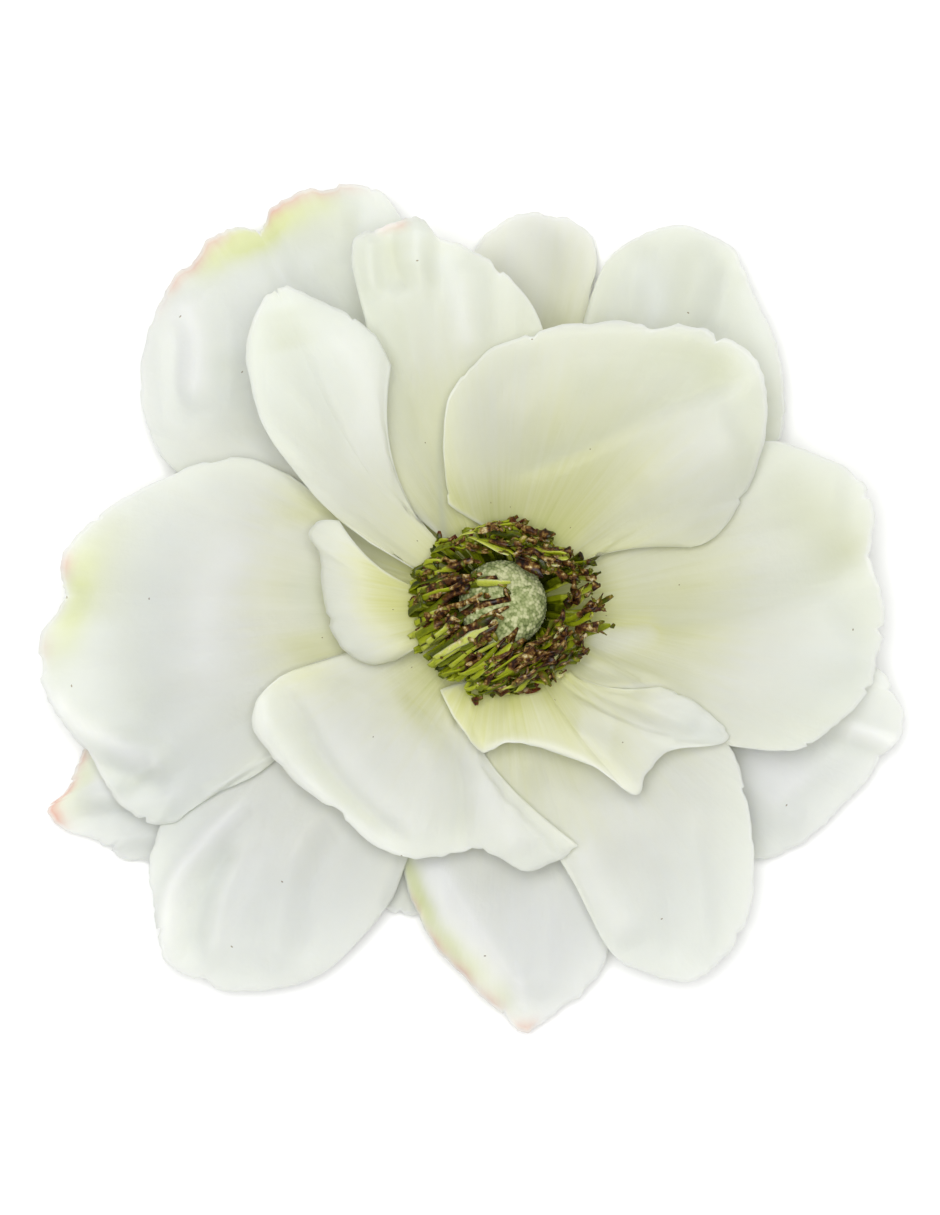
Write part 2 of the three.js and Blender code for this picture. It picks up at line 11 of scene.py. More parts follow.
import bpy
import numpy as np
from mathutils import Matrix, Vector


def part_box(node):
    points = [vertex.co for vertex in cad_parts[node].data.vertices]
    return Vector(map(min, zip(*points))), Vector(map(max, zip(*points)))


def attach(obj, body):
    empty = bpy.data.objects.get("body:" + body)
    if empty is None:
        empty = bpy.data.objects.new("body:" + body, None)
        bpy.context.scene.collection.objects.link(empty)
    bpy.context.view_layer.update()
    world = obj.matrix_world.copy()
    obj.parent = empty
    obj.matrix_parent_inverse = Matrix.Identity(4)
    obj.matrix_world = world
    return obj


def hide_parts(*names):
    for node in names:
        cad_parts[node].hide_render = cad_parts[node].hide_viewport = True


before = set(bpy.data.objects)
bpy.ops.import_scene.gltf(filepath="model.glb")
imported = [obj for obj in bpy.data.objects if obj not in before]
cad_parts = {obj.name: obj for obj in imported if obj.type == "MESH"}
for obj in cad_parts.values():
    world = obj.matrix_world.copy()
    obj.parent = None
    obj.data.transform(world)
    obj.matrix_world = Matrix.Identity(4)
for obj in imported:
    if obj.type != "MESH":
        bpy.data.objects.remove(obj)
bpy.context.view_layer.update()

MM = 0.001
MAP_UNIT = 100              # millimetres to one unit of the map of a petal's veins
SEED = 41

# The receptacle and the tiers of claws on it
CLAW_RING = 5.6
LOWEST_CLAW = 3.6
TIER_STEP = 1.1
HEAD_TOP = LOWEST_CLAW + 5 * TIER_STEP + 0.5
SEAT_GAP = 0.3

# How petals rest on each other: the solid blades' thickness and clearance, and the real blade's
BLADE = 0.6
LAY_GAP = 0.45
LEAF = 0.24
LEAF_GAP = 0.12

# The petals from the lowest to the highest, in the order in which they are laid. The claw has a tier, a
# bearing in degrees and half its angle on the receptacle. The blade leaves the claw at its rise, and its
# margin is given counter-clockwise from one flank to the other by points of [x, y, height, lean], where a
# positive lean turns the margin down and a negative one turns it up. Some have folds, each [place across,
# half width, height, start from the claw], or a bow, which is how far the first and the last flank bend
# counter-clockwise, as a share of their length.
PETALS = [
    {
        "name": "petal_back_left", "tier": 0, "bearing": 160, "half": 18, "rise": -0.05,
        "margin": [
            [-16, 15, 3, 1], [-25.5, 20.5, 1.5, 1.5], [-33, 20, 0.6, 1.5], [-38, 16.5, 0.3, 1],
            [-40, 11, -0.5, 1], [-38.5, 5.5, -0.5, 1], [-31, 2, 1, 1], [-17.5, -1.5, 3, 1],
        ],
    },
    {
        "name": "petal_back_low", "tier": 0, "bearing": 250, "half": 18, "rise": -0.05,
        "margin": [
            [-13.5, -11, 3.2, 1], [-19, -22.5, 1.6, 1], [-17, -32, 1.4, 0.5], [-12, -36, 1.6, 0],
            [-5.5, -34.5, 1, 0.5], [-1, -27.5, 1.4, 1], [1.5, -15.5, 3.2, 1],
        ],
    },
    {
        "name": "petal_back_right", "tier": 0, "bearing": 12, "half": 18, "rise": -0.05,
        "margin": [
            [14, -8.5, 3, 1], [28.5, -6.5, 0.8, 1], [39, 0, -0.5, 1], [41.5, 8, -0.6, 1], [38, 15.5, -0.2, 1],
            [28.5, 18.5, 1.2, 1], [15.5, 11.5, 3, 1],
        ],
    },
    {
        "name": "petal_outer_left_low", "tier": 1, "bearing": 205, "half": 16, "rise": -0.05,
        "margin": [
            [-29.5, -4, 4, 1], [-42.5, -11, 3, 1.5], [-48, -15.5, 3, 1.5], [-49.5, -18, 3, 1],
            [-51, -21.5, 2.8, 1], [-53, -23.5, 2.6, 1], [-51.5, -26, 2.2, 1], [-48.5, -27, 2, 1],
            [-46.5, -28, 1.8, 1], [-44.5, -29.5, 1.5, 1], [-41.5, -30, 1.4, 1], [-40.5, -33, 1.2, 1],
            [-32.5, -31, 1.5, 1], [-20.5, -22, 3.5, 1],
        ],
    },
    {
        "name": "petal_outer_right_low", "tier": 1, "bearing": 326, "half": 16, "rise": 0,
        "margin": [
            [14, -19.5, 4, 1], [23.5, -28, 2.5, 1], [30.5, -29.5, 2, 1], [34, -28.5, 2.2, 1],
            [37, -26.5, 2.5, 1], [40, -23.5, 2.8, 0.7], [42.5, -21, 3.2, 0.5], [44.5, -17.5, 4, 0],
            [46.5, -15.5, 5.5, 0], [47, -12, 7.2, 0], [45.5, -9.5, 8, -0.5], [44.5, -7.5, 8, -1],
            [38.5, -3.5, 6, 0], [28, -1.5, 5, 0],
        ],
    },
    {
        "name": "petal_outer_top", "tier": 1, "bearing": 93, "half": 16, "rise": 0,
        "margin": [
            [10.5, 26.5, 4, 1], [10.5, 36, 2.5, 1], [11.5, 40.5, 2, 1], [10.5, 44, 1.5, 1], [7.5, 46, 1.3, 1],
            [3, 46.5, 1.3, 1], [-0.5, 45, 1.5, 1], [-3, 42, 2, 1], [-4.5, 34, 3, 1], [-4, 22, 4, 1],
        ],
    },
    {
        "name": "petal_outer_low", "tier": 1, "bearing": 268, "half": 16, "rise": 0,
        "margin": [
            [-8, -15.5, 4.5, 1], [-11, -22.5, 4, 1], [-11.5, -29.5, 4, 1], [-10, -35, 4, 1.5],
            [-7.5, -39.5, 3.8, 1.5], [-4, -43.5, 3.2, 1.5], [0, -47.5, 2.5, 1.5], [3, -50, 2, 1.5],
            [6.5, -47.5, 2.5, 1.5], [10.5, -44.5, 3, 1.5], [13, -39.5, 3.5, 1], [13.5, -32, 4, 1],
            [9.5, -20, 4.5, 1],
        ],
    },
    {
        "name": "petal_outer_left_high", "tier": 2, "bearing": 138, "half": 17, "rise": 0,
        "margin": [
            [-5.5, 27, 6, 0], [-8.5, 38, 6, 0], [-11.5, 45.5, 6, 0], [-14.5, 49, 6, 1], [-19, 49.5, 6, 1],
            [-23.5, 48.5, 5.8, 1.2], [-26.5, 47, 5.5, 1.5], [-28, 44.5, 5, 1.5], [-31, 44.5, 5.2, 1.5],
            [-34, 43, 5.2, 1.5], [-36, 40.5, 5, 1.5], [-38.5, 38.5, 5, 1.5], [-40, 35, 5, 1.5],
            [-41.5, 31, 5, 1.5], [-42, 25.5, 5, 1.5], [-41, 20.5, 5, 1.5], [-38.5, 16.5, 5, 1],
            [-30.5, 10.5, 5.5, 1], [-20, 5.5, 6, 0],
        ],
    },
    {
        "name": "petal_outer_low_left", "tier": 2, "bearing": 232, "half": 17, "rise": 0,
        "margin": [
            [-25, -9.5, 5.5, 0], [-33.5, -16, 6, 0], [-38, -22, 6, 0], [-40, -26.5, 6, -0.3],
            [-41, -30.5, 6, -0.5], [-40.5, -34.5, 5.8, -0.5], [-40, -38.5, 5.5, 0], [-38, -42.5, 5, 1],
            [-30.5, -45, 4, 1.5], [-22, -43.5, 4, 1.5], [-16.5, -39, 4.5, 1.5], [-12.5, -34, 4.8, 1.2],
        ],
    },
    {
        "name": "petal_outer_right_high", "tier": 2, "bearing": 58, "half": 17, "rise": 0,
        "margin": [
            [25.5, 12.5, 6, 0], [32.5, 19.5, 6, 0], [33, 26.5, 6.5, 0], [32, 32, 6.5, 0], [29.5, 37, 6, 0.5],
            [27.5, 41.5, 5.5, 1], [22, 44.5, 5, 1], [16.5, 43.5, 5, 1], [12.5, 40.5, 5.5, 1],
            [10.5, 36, 5.5, 0],
        ],
    },
    {
        "name": "petal_outer_left", "tier": 3, "bearing": 179, "half": 18, "rise": 0,
        "margin": [
            [-24.5, 15.5, 9, -1], [-29.5, 17.5, 9.5, -1], [-34, 17, 9.5, -1], [-39, 15, 9.5, -1],
            [-44, 12.5, 9, -0.5], [-48, 9.5, 9, 0], [-50.5, 6.5, 8.8, 0.5], [-51, 3.5, 8.3, 0.7],
            [-50.5, 1.5, 7.6, 1], [-52, -1, 8, 1], [-53.5, -3.5, 8, 1], [-53.5, -8, 7.5, 1],
            [-52, -11.5, 7.5, 1], [-49.5, -15, 7, 1], [-47.5, -17.5, 7, 1.5], [-46, -20.5, 7, 1.5],
            [-44, -23, 6.5, 1.5], [-41, -25, 6.5, 1.5], [-38, -25, 6.5, 1.5], [-36, -23.5, 7, 1],
            [-33, -21.5, 7, 0.7], [-28.5, -19.5, 7.5, 0], [-23.5, -15.5, 7.5, 0], [-13, -8.5, 7.5, 0],
        ],
    },
    {
        "name": "petal_outer_low_right", "tier": 3, "bearing": 298, "half": 17, "rise": 0.06,
        "margin": [
            [-2.5, -18.5, 9, 0], [7, -29.5, 7.7, 0], [12.5, -39.5, 6.5, 1], [16.5, -42.5, 6, 1],
            [22, -43.5, 6, 1], [26.5, -40.5, 6.5, 1], [29, -35.5, 7.5, 0], [29.5, -30, 8.5, -0.5],
            [28.5, -22, 10, -1], [26.5, -16, 11, -1], [22.5, -11.5, 11.3, -1], [18.5, -9.5, 11, -0.5],
        ],
    },
    {
        "name": "petal_inner_right", "tier": 4, "bearing": 357, "half": 20, "rise": 0.02,
        "margin": [
            [7.5, -7.5, 11, -1], [11.5, -9.5, 11.8, -1], [17.5, -11, 11.5, -1], [23, -14, 11, -1],
            [27, -16, 11, -1], [33.5, -16.5, 11, -0.5], [37, -15, 10.5, 0], [40, -12.5, 11, -0.5],
            [42.5, -9.5, 11, -1], [43.5, -6, 11, -1], [44.5, -1.5, 11, -1], [44, 2.5, 11.2, -1],
            [42.5, 6, 11.5, -1], [43, 9, 12, -1], [42.5, 13, 12, -1], [40, 16, 12, -1], [34.5, 18.5, 12, -1],
            [29.5, 19, 11, -1], [21, 14.5, 11, -1],
        ],
    },
    {
        "name": "petal_inner_low_left", "tier": 4, "bearing": 215, "half": 20, "rise": 0.02,
        "bow": [0, -0.14],
        "folds": [[0.3, 0.08, -0.6, 0.3]],
        "margin": [
            [-22, -6.5, 10.5, -1.5], [-25.5, -8, 11.3, -1], [-28, -10.5, 11.5, -0.5], [-28.5, -13.5, 11.5, 0],
            [-26.5, -17, 11.3, 0], [-23, -20.5, 11.2, 0], [-18.5, -24, 10.8, 0], [-15, -27, 10.5, 0],
            [-11.5, -28.5, 10.3, 0.5], [-8, -29, 10, 1], [-5.5, -28.5, 9.8, 1], [-3, -28, 9.8, 1],
            [0, -29, 9.6, 1.2], [3, -30.5, 9.5, 1.3], [6.5, -29.5, 9.7, 1], [9, -27.5, 10.2, 0.5],
        ],
    },
    {
        "name": "petal_inner_top", "tier": 4, "bearing": 104, "half": 20, "rise": 0.05,
        "margin": [
            [4.5, 27, 13, -1], [5, 31.5, 14, -1], [3.5, 35, 14.5, -1], [1, 38, 15, -0.5], [-1.5, 40, 15.2, 0],
            [-4, 41.5, 15.5, 0], [-7, 42.5, 15.5, 0.5], [-9, 44.5, 15.8, 1], [-11.5, 44.5, 15.8, 1],
            [-14.5, 43.5, 15.8, 1], [-16.5, 42.5, 15.3, 1], [-17, 40, 15, 0.5], [-16.5, 37, 14.8, 0],
            [-15.5, 33, 14.6, -0.5], [-14.5, 28.5, 14.2, -1], [-13.5, 21.5, 13.5, -1.5], [-12, 12.5, 12, -1],
        ],
    },
    {
        "name": "petal_inner_left_high", "tier": 5, "bearing": 142, "half": 17, "rise": 0.12, "bow": [0.2, 0],
        "margin": [
            [-12.5, 27.5, 17.5, -0.5], [-14, 30.5, 18.2, 0], [-16.5, 33, 18.5, 0], [-19.5, 34.5, 18.8, 0],
            [-23, 36, 19, 0.5], [-25, 36.5, 19.3, 0.5], [-26, 36, 19.2, 0], [-27.5, 34, 19, -1],
            [-29, 30, 18, -1.5], [-28.5, 25.5, 17, -2], [-27, 20.5, 15.5, -2], [-23.5, 15.5, 14, -1.8],
            [-19.5, 11, 12.5, -1], [-15, 7.5, 12, -1],
        ],
    },
    {
        "name": "petal_inner_left", "tier": 5, "bearing": 182, "half": 20, "rise": 0.3, "bow": [0.16, 0],
        "margin": [
            [-18.5, 10, 13.6, 1.5], [-21, 10, 13, 2.5], [-22, 8.5, 12.6, 2.7], [-21, 6.5, 12.6, 3],
            [-20.5, 4.5, 12.6, 3], [-20.5, 2, 12.2, 3.4], [-20, -1, 12, 3.6], [-19, -3.5, 12, 3.6],
            [-17.5, -5.5, 12, 3.2], [-15, -6.5, 12, 2.8], [-12, -6, 12, 1.5],
        ],
    },
    {
        "name": "petal_inner_right_high", "tier": 5, "bearing": 50, "half": 20, "rise": 0.08, "bow": [0.1, 0],
        "margin": [
            [22, 7, 11.8, 0], [24.5, 8, 12, 0], [28, 12.5, 13, -0.3], [30, 18.5, 14.8, -0.7],
            [30.5, 24, 16.2, -1], [28.5, 29, 17.3, -1], [24, 31.5, 17.5, -0.5], [17, 32.5, 17.5, 0],
            [10, 32.5, 17.5, 0], [3.5, 31.5, 17.3, -0.5], [-2.5, 28.5, 16.8, -1.5], [-6, 24, 15.8, -2],
            [-6.5, 18, 14.3, -2], [-6, 12, 12.3, -1],
        ],
    },
    {
        "name": "petal_inner_low_right", "tier": 5, "bearing": 302, "half": 20, "rise": 0.08,
        "bow": [0, -0.2],
        "margin": [
            [-7, -9.5, 11.3, -1], [-4.5, -14, 12.3, -1], [-2, -16.5, 12.6, -0.3], [1, -15.5, 13, 0],
            [6, -16.5, 13.1, 0], [11, -18.5, 12.8, 0], [15.5, -21.5, 11.8, 0], [17, -19, 12.6, -0.5],
            [19.5, -16.5, 13.2, -1], [26, -15.5, 12.4, 0], [25, -13, 13.2, -0.3], [22, -10.5, 13.2, -0.5],
            [18.5, -9, 12.8, -1],
        ],
    },
]

# What each petal has beyond its form, placed from the flower's axis in millimetres. A line is a ridge, or a
# valley if its height is negative: [height, reach on its left, reach on its right, points [x, y] along it].
# A band is written in the same way, and its first number is how much paler it paints the tissue, a painted
# highlight, or duller and more olive if it is negative, painted shade. Swells, flush, blush and lime are
# round:
# [x, y, radius, amount], where flush is how far from the axis the green of the claw is pushed out, which is
# the petal's own colour and in places painted light that lifts tissue lying in shade near the claws and under
# other petals, and blush and lime are the strengths of those tints near the margin. Green and pale are a
# flush
# and a paleness of the whole petal: the flush on the outer top petal is partly painted shade, and the
# paleness is painted light, or painted shade if it is negative. Ruffle is the height of the small waves of
# its margin, and parted is for how many rounds its ribs are drawn apart where they crowd near the margin.
DETAILS = {
    "petal_outer_left_low": {
        "painted_light_shade": 0.6,
        "ruffle": 0.5,
        "lines": [
            [0.5, 1.2, 1.2, [-48.5, -22.5], [-44, -21.5], [-37.5, -19.5]],
            [-0.5, 1.2, 1.2, [-50, -24.5], [-44.5, -24], [-38, -23]],
            [0.4, 1, 1, [-46.5, -28], [-42.5, -27], [-37, -26.5]],
        ],
        "painted_bands": [
            [0.6, 1, 1, [-48, -19.5], [-44.5, -21.5], [-38.5, -19]],
            [-0.3, 1, 1, [-49.5, -22.5], [-44, -23.5], [-38, -22.5]],
        ],
        "blush": [[-49, -17.5, 1.5, 0.9], [-51, -21, 2, 1], [-52.5, -23.5, 2, 1], [-52, -25, 1.5, 0.6]],
        "lime": [[-48.5, -19, 2, 0.5], [-50, -22.5, 2.5, 0.4]],
    },
    "petal_outer_right_low": {
        "painted_light_shade": 0.5,
        "ruffle": 0.4,
        "lines": [
            [0.9, 0.9, 2.2, [40.5, -14], [43.5, -15], [47, -16.5]],
            [-0.5, 1.5, 1.5, [35, -16], [40.5, -15.5], [45, -17.5]],
            [0.5, 2, 2, [23.5, -18], [30.5, -21.5], [35, -26]],
        ],
        "painted_bands": [
            [1.2, 3.5, 3.5, [28.5, -15.5], [32, -18.5], [35, -21.5]],
            [0.8, 0.7, 1.8, [40, -13.5], [43.5, -14.5], [47, -16]],
            [-0.4, 1, 1, [39.5, -16], [43.5, -16.5], [46, -17.5]],
        ],
    },
    "petal_outer_top": {
        # Its green, reaching far out, is partly painted shade for a petal that lies low in shade
        "green": 18,
        "painted_light_shade": 0.6,
        "parted": 160,
        "lines": [
            [0.4, 2, 2, [3.5, 45], [4, 38.5], [3.5, 32.5]],
            [-0.3, 1.5, 1.5, [7, 45], [7.5, 37.5], [7, 32.5]],
        ],
        "painted_bands": [
            [-0.3, 2.5, 2.5, [7, 44], [7.5, 36], [7, 32.5]],
        ],
    },
    "petal_outer_low": {
        "painted_light_shade": 0.8,
        "ruffle": 0.45,
        "lines": [
            [0.8, 2.2, 2.2, [-7.5, -32], [-5, -39], [0.5, -46]],
            [-0.5, 2, 2, [-1, -32], [1, -40], [3, -47.5]],
            [0.4, 2, 2, [5.5, -32], [5.5, -39], [5.5, -45]],
        ],
        "painted_bands": [
            [1.6, 1.6, 2.6, [-7.5, -30], [-5.5, -35], [-2, -40.5], [1, -45]],
            [0.7, 1, 1, [2, -43.5], [2.5, -47]],
            [-0.5, 2.6, 2.6, [-7, -30.5], [1, -31.5], [8, -30]],
        ],
        "blush": [[-10, -35, 1.6, 0.5], [-7.5, -39.5, 1.8, 0.9], [-4.5, -43, 2, 1], [-1, -46, 1.8, 0.8],
            [3, -49.5, 1.6, 1]],
        "lime": [[-11, -31, 2.5, 0.9], [-9.5, -35, 2.8, 1], [-7, -39.5, 2.8, 0.9], [-3.5, -42.5, 2.6, 0.7],
            [0, -45.5, 2.2, 0.5]],
    },
    "petal_outer_left_high": {
        "painted_light_shade": 0.2,
        "ruffle": 0.45,
        "lines": [
            [0.7, 2, 2, [-37.5, 36], [-35.5, 30.5], [-36, 24]],
            [-0.6, 2.2, 2.2, [-32.5, 36], [-31.5, 29], [-33.5, 20.5]],
            [0.4, 1.6, 1.6, [-39.5, 32.5], [-39.5, 26.5], [-38.5, 20.5]],
            [-0.5, 1.5, 1.5, [-28, 44], [-26, 39.5], [-24.5, 35.5]],
            [0.4, 2, 2, [-19.5, 48], [-18.5, 43], [-18, 39]],
            [-0.3, 1.2, 1.2, [-37.5, 32.5], [-38, 26.5], [-37, 22]],
        ],
        "painted_bands": [
            [-1, 3.5, 3.5, [-25, 44], [-20, 44.5], [-16.5, 44]],
            [1, 2, 2.4, [-37.5, 36], [-36, 31.5], [-35.5, 25]],
            [-0.6, 2.6, 2.6, [-31.5, 30], [-30.5, 24.5], [-29.5, 19.5]],
            [-0.7, 2.2, 2.2, [-21, 40.5], [-18, 37], [-15.5, 33.5]],
            [0.3, 1.5, 1.5, [-41, 32.5], [-41.5, 26], [-40, 21.5]],
        ],
        "flush_and_painted_light": [[-36, 18, 5, 4], [-32, 19.5, 4, 4]],
        "blush": [[-36, 40.5, 1.8, 1], [-33.5, 43, 2, 0.9], [-38, 38, 1.6, 0.8], [-27, 46.5, 1.8, 1],
            [-24.5, 48, 2, 0.9], [-21, 49, 2.2, 0.7], [-17.5, 49.5, 2.2, 0.4], [-40, 35.5, 1.5, 0.3]],
        "lime": [[-34.5, 40.5, 2.4, 0.7], [-30.5, 42.5, 3, 1.3], [-28, 44.5, 2.2, 1], [-25, 46, 3, 1],
            [-21, 47.5, 2.4, 0.6]],
    },
    "petal_outer_low_left": {
        "painted_light_shade": 0.3,
        "ruffle": 0.4,
        "lines": [
            [0.7, 1.1, 1.6, [-39.5, -40.5], [-38.5, -33], [-35, -28], [-29.5, -22]],
            [-0.4, 1.3, 1.3, [-36, -40.5], [-34.5, -33.5], [-31.5, -28.5]],
            [0.4, 1.2, 1.2, [-29, -26], [-32.5, -34], [-33.5, -41.5]],
            [0.35, 1.4, 1.4, [-23, -26], [-25.5, -34], [-26.5, -42]],
            [-0.3, 1.4, 1.4, [-20, -26], [-22, -34], [-23, -41]],
        ],
        "painted_bands": [
            [0.8, 0.8, 1.3, [-39.5, -40.5], [-38.5, -33], [-35, -27.5], [-30, -23]],
            [-0.35, 1.3, 1.3, [-36, -40.5], [-34.5, -33], [-31, -27.5]],
            [0.3, 1.5, 1.5, [-28, -27], [-31, -34], [-32.5, -40.5]],
        ],
        "flush_and_painted_light": [[-28, -27, 7, 5]],
    },
    "petal_outer_right_high": {
        "painted_light_shade": -0.55,
        "lines": [
            [0.5, 2, 2, [23.5, 42], [22, 36], [21, 32.5]],
            [-0.5, 1.6, 1.6, [27, 41], [26, 36], [25, 32.5]],
            [0.4, 1.5, 1.5, [16.5, 42], [15.5, 37], [15, 33.5]],
        ],
        "painted_bands": [
            [0.5, 1.6, 1.6, [16.5, 40.5], [18, 36.5], [17.5, 32.5]],
            [-0.35, 2, 2, [22, 42], [21.5, 36], [21, 32.5]],
            [0.4, 1.4, 1.4, [28.5, 37.5], [30.5, 32.5], [31.5, 26]],
        ],
    },
    "petal_outer_left": {
        "painted_light_shade": 0.1,
        "parted": 240,
        "ruffle": 0.5,
        "lines": [
            [-0.9, 5, 5, [-42.5, 11.5], [-43.5, 1], [-43.5, -8.5], [-40, -14]],
            [0.5, 4.5, 4.5, [-33.5, 12], [-34.5, 1], [-34, -10.5]],
            [0.8, 1.3, 2, [-53, -9.5], [-49.5, -13.5], [-45, -15.5], [-40.5, -16.5], [-38.5, -18.5]],
            [-0.6, 1.4, 1.4, [-47, -18], [-43, -19.5], [-39, -21]],
            [0.5, 0.9, 0.9, [-44, -21], [-41.5, -19], [-39.5, -17.5]],
            [0.4, 1.2, 1.2, [-34.5, -22], [-30.5, -20], [-27, -18.5]],
        ],
        "painted_bands": [
            [-0.9, 3, 3, [-45, 11.5], [-46.5, 4.5], [-47, -1.5]],
            [0.8, 5, 5, [-22.5, 10], [-22.5, 4.5], [-23.5, -3.5]],
            [-0.35, 3, 3, [-42.5, 12.5], [-43.5, 1], [-43, -8.5], [-40.5, -13.5]],
            [0.5, 2.6, 2.6, [-30, 8], [-34, 1], [-34, -9.5]],
            [0.8, 0.9, 1.3, [-52, -9.5], [-49.5, -13], [-46, -15], [-40, -18.5]],
            [-0.5, 0.7, 0.7, [-44, -21], [-40.5, -18.5]],
            [0.4, 1.2, 1.2, [-46.5, -22.5], [-42, -22.5], [-36.5, -21]],
        ],
        "swells": [[-50.5, 5.5, 2.2, 0.6], [-50, 1.5, 2, -0.7], [-52.5, -2.5, 2.4, 0.6], [-53, -7.5, 2, -0.3],
            [-51, -11.5, 2, 0.4]],
        "flush_and_painted_light": [
            [-23, 10, 5, 9], [-22.5, 4, 5, 9], [-22.5, -1.5, 5, 10], [-23.5, -8, 4, 4], [-27.5, 1, 5, 3],
        ],
        "blush": [[-51, 5, 1.6, 1], [-52.5, 0.5, 1.5, 0.3], [-53, -4.5, 1.8, 0.35]],
        "lime": [[-49, 2, 3.5, 0.8], [-50, -2.5, 3, 0.6], [-48, 6, 3, 0.45], [-53, -5.5, 3, 0.3]],
    },
    "petal_outer_low_right": {
        "painted_light_shade": 0.15,
        "ruffle": 0.4,
        "lines": [
            [0.7, 2.4, 2.4, [9, -27], [12, -33], [15, -38.5]],
            [-0.8, 2.5, 2.5, [3.5, -20], [10.5, -22.5], [18, -22.5]],
            [0.4, 1.5, 1.5, [22, -24.5], [23.5, -33], [24, -40]],
            [-0.3, 1.3, 1.3, [18.5, -29.5], [19.5, -35], [20.5, -41]],
        ],
        "painted_bands": [
            [0.5, 2, 2, [9.5, -28], [12, -33], [15, -38.5]],
            [0.35, 2.6, 2.6, [4.5, -21.5], [10.5, -22.5], [16.5, -22.5]],
        ],
        "flush_and_painted_light": [[8, -21.5, 4, 3]],
    },
    "petal_inner_right": {
        "painted_light_shade": -0.35,
        "ruffle": 0.35,
        "lines": [
            [-0.9, 4.5, 1.6, [13, -1.5], [24, -1], [37.5, 3], [42.5, 6]],
            [0.6, 5, 5, [23, -9], [33.5, -6.5], [40.5, -2.5]],
            [0.4, 4, 4, [29.5, 12], [39.5, 12.5]],
            [0.5, 0.9, 0.9, [7, -7], [11.5, -9], [16, -8.5]],
            [-0.4, 1.5, 2.5, [16, 5.5], [25.5, 8], [34.5, 9]],
        ],
        "painted_bands": [
            [0.9, 2.4, 2.4, [10, -3.5], [14, -3.5], [18.5, -2]],
            [-0.35, 5, 5, [33.5, 12.5], [41.5, 5.5], [40.5, -3.5]],
            [-0.5, 2.8, 0.9, [13, -1.5], [24, -1], [37.5, 3], [42.5, 6]],
            [0.35, 4, 4, [23, -8.5], [33.5, -6], [40.5, -2]],
            [0.9, 0.5, 0.5, [7.5, -7.5], [11.5, -9.5], [16, -9], [19, -9]],
            [-0.9, 4, 4, [31, 15], [37, 10], [40.5, 5.5]],
        ],
        "flush_and_painted_light": [[23, 5.5, 7, 6], [16, 5.5, 5, -5], [12, -7, 4, -4], [21, -3.5, 6, 3]],
    },
    "petal_inner_low_left": {
        "green": -7,
        "painted_light_shade": 0.2,
        "ruffle": 0.5,
        "lines": [
            [-0.8, 1.1, 2, [-25.5, -9.5], [-23, -12.5], [-20.5, -17.5], [-16, -23], [-11, -27]],
            [0.6, 1.7, 1.7, [-27.5, -11.5], [-25, -16], [-20.5, -21], [-14, -26.5]],
            [-0.8, 1.2, 1.8, [-11, -10.5], [-6.5, -15.5], [-4.5, -20.5], [-4.5, -27]],
            [0.5, 2.3, 2.3, [-2.5, -19.5], [0, -24.5], [2.5, -28]],
            [-0.5, 1.5, 3, [-24.5, -7.5], [-17.5, -9.5], [-11.5, -14]],
        ],
        "painted_bands": [
            [0.8, 0.9, 1.5, [-28, -10.5], [-27, -16], [-23, -20], [-18, -24.5], [-12.5, -27.5]],
            [-0.5, 0.7, 1.1, [-23.5, -11.5], [-21.5, -17], [-18, -21.5], [-13.5, -26]],
            [-0.5, 1.5, 1.5, [-27.5, -9], [-23, -7], [-17.5, -9.5]],
            [-0.6, 0.5, 0.9, [-11, -10.5], [-6.5, -15.5], [-4.5, -20.5], [-4.5, -27]],
            [0.5, 2, 2, [-2.5, -19.5], [0, -24], [3.5, -28]],
            [0.4, 1.6, 1.6, [-19.5, -14.5], [-15, -20.5], [-9.5, -26]],
        ],
        "flush_and_painted_light": [[-23, -7.5, 3.5, 10], [-8.5, -9.5, 5, 9], [-5, -18.5, 5, -5]],
    },
    "petal_inner_top": {
        "green": -2,
        "painted_light_shade": -0.45,
        "ruffle": 0.5,
        "lines": [
            [-0.8, 1, 1.8, [-12.5, 43.5], [-12.5, 41], [-11.5, 36.5]],
            [0.6, 1, 1, [-15, 42.5], [-15, 39.5], [-14.5, 36]],
            [0.7, 1.3, 1.3, [-9.5, 44], [-9.5, 40.5], [-8.5, 36]],
            [-0.6, 1.8, 1.8, [-7.5, 41.5], [-7, 36.5], [-7.5, 29.5], [-8.5, 21.5]],
            [0.6, 2.6, 2.6, [-4, 39.5], [-4, 34], [-3.5, 29.5]],
            [-0.4, 1.5, 1.5, [-1, 39], [-0.5, 34], [0, 29.5]],
        ],
        "painted_bands": [
            [-0.4, 4, 4, [-11, 42], [-10.5, 36.5]],
            [-0.5, 0.8, 0.8, [-12.5, 42.5], [-12.5, 40.5], [-12, 38]],
            [0.7, 1.3, 1.3, [-6.5, 41], [-5, 35.5], [-3.5, 29.5]],
            [0.5, 1, 1, [-9, 44], [-10, 39.5]],
            [-0.9, 0.45, 0.45, [-4, 27.5], [-6.5, 22], [-7, 14.5], [-6.5, 8]],
            [-0.4, 1.6, 1.6, [-11, 35.5], [-11.5, 26], [-10.5, 18]],
        ],
        "flush_and_painted_light": [[-8, 24, 6, 6]],
        "blush": [[-13.5, 44, 1, 0.9], [-11.5, 44, 1, 0.8]],
    },
    "petal_inner_left_high": {
        "green": -7,
        "ruffle": 0.3,
        "lines": [
            [0.7, 4, 2.2, [-21.5, 34.5], [-18.5, 25], [-16, 14]],
            [0.35, 0.8, 0.8, [-28, 31.5], [-28, 25], [-26.5, 20], [-22.5, 15.5]],
            [0.4, 2, 2, [-17.5, 31], [-15.5, 25], [-15.5, 19]],
        ],
        "painted_bands": [
            [-0.6, 3, 3, [-25, 34], [-24, 29.5]],
            [-0.3, 2.6, 2.6, [-24, 32], [-23, 23.5], [-19, 16.5]],
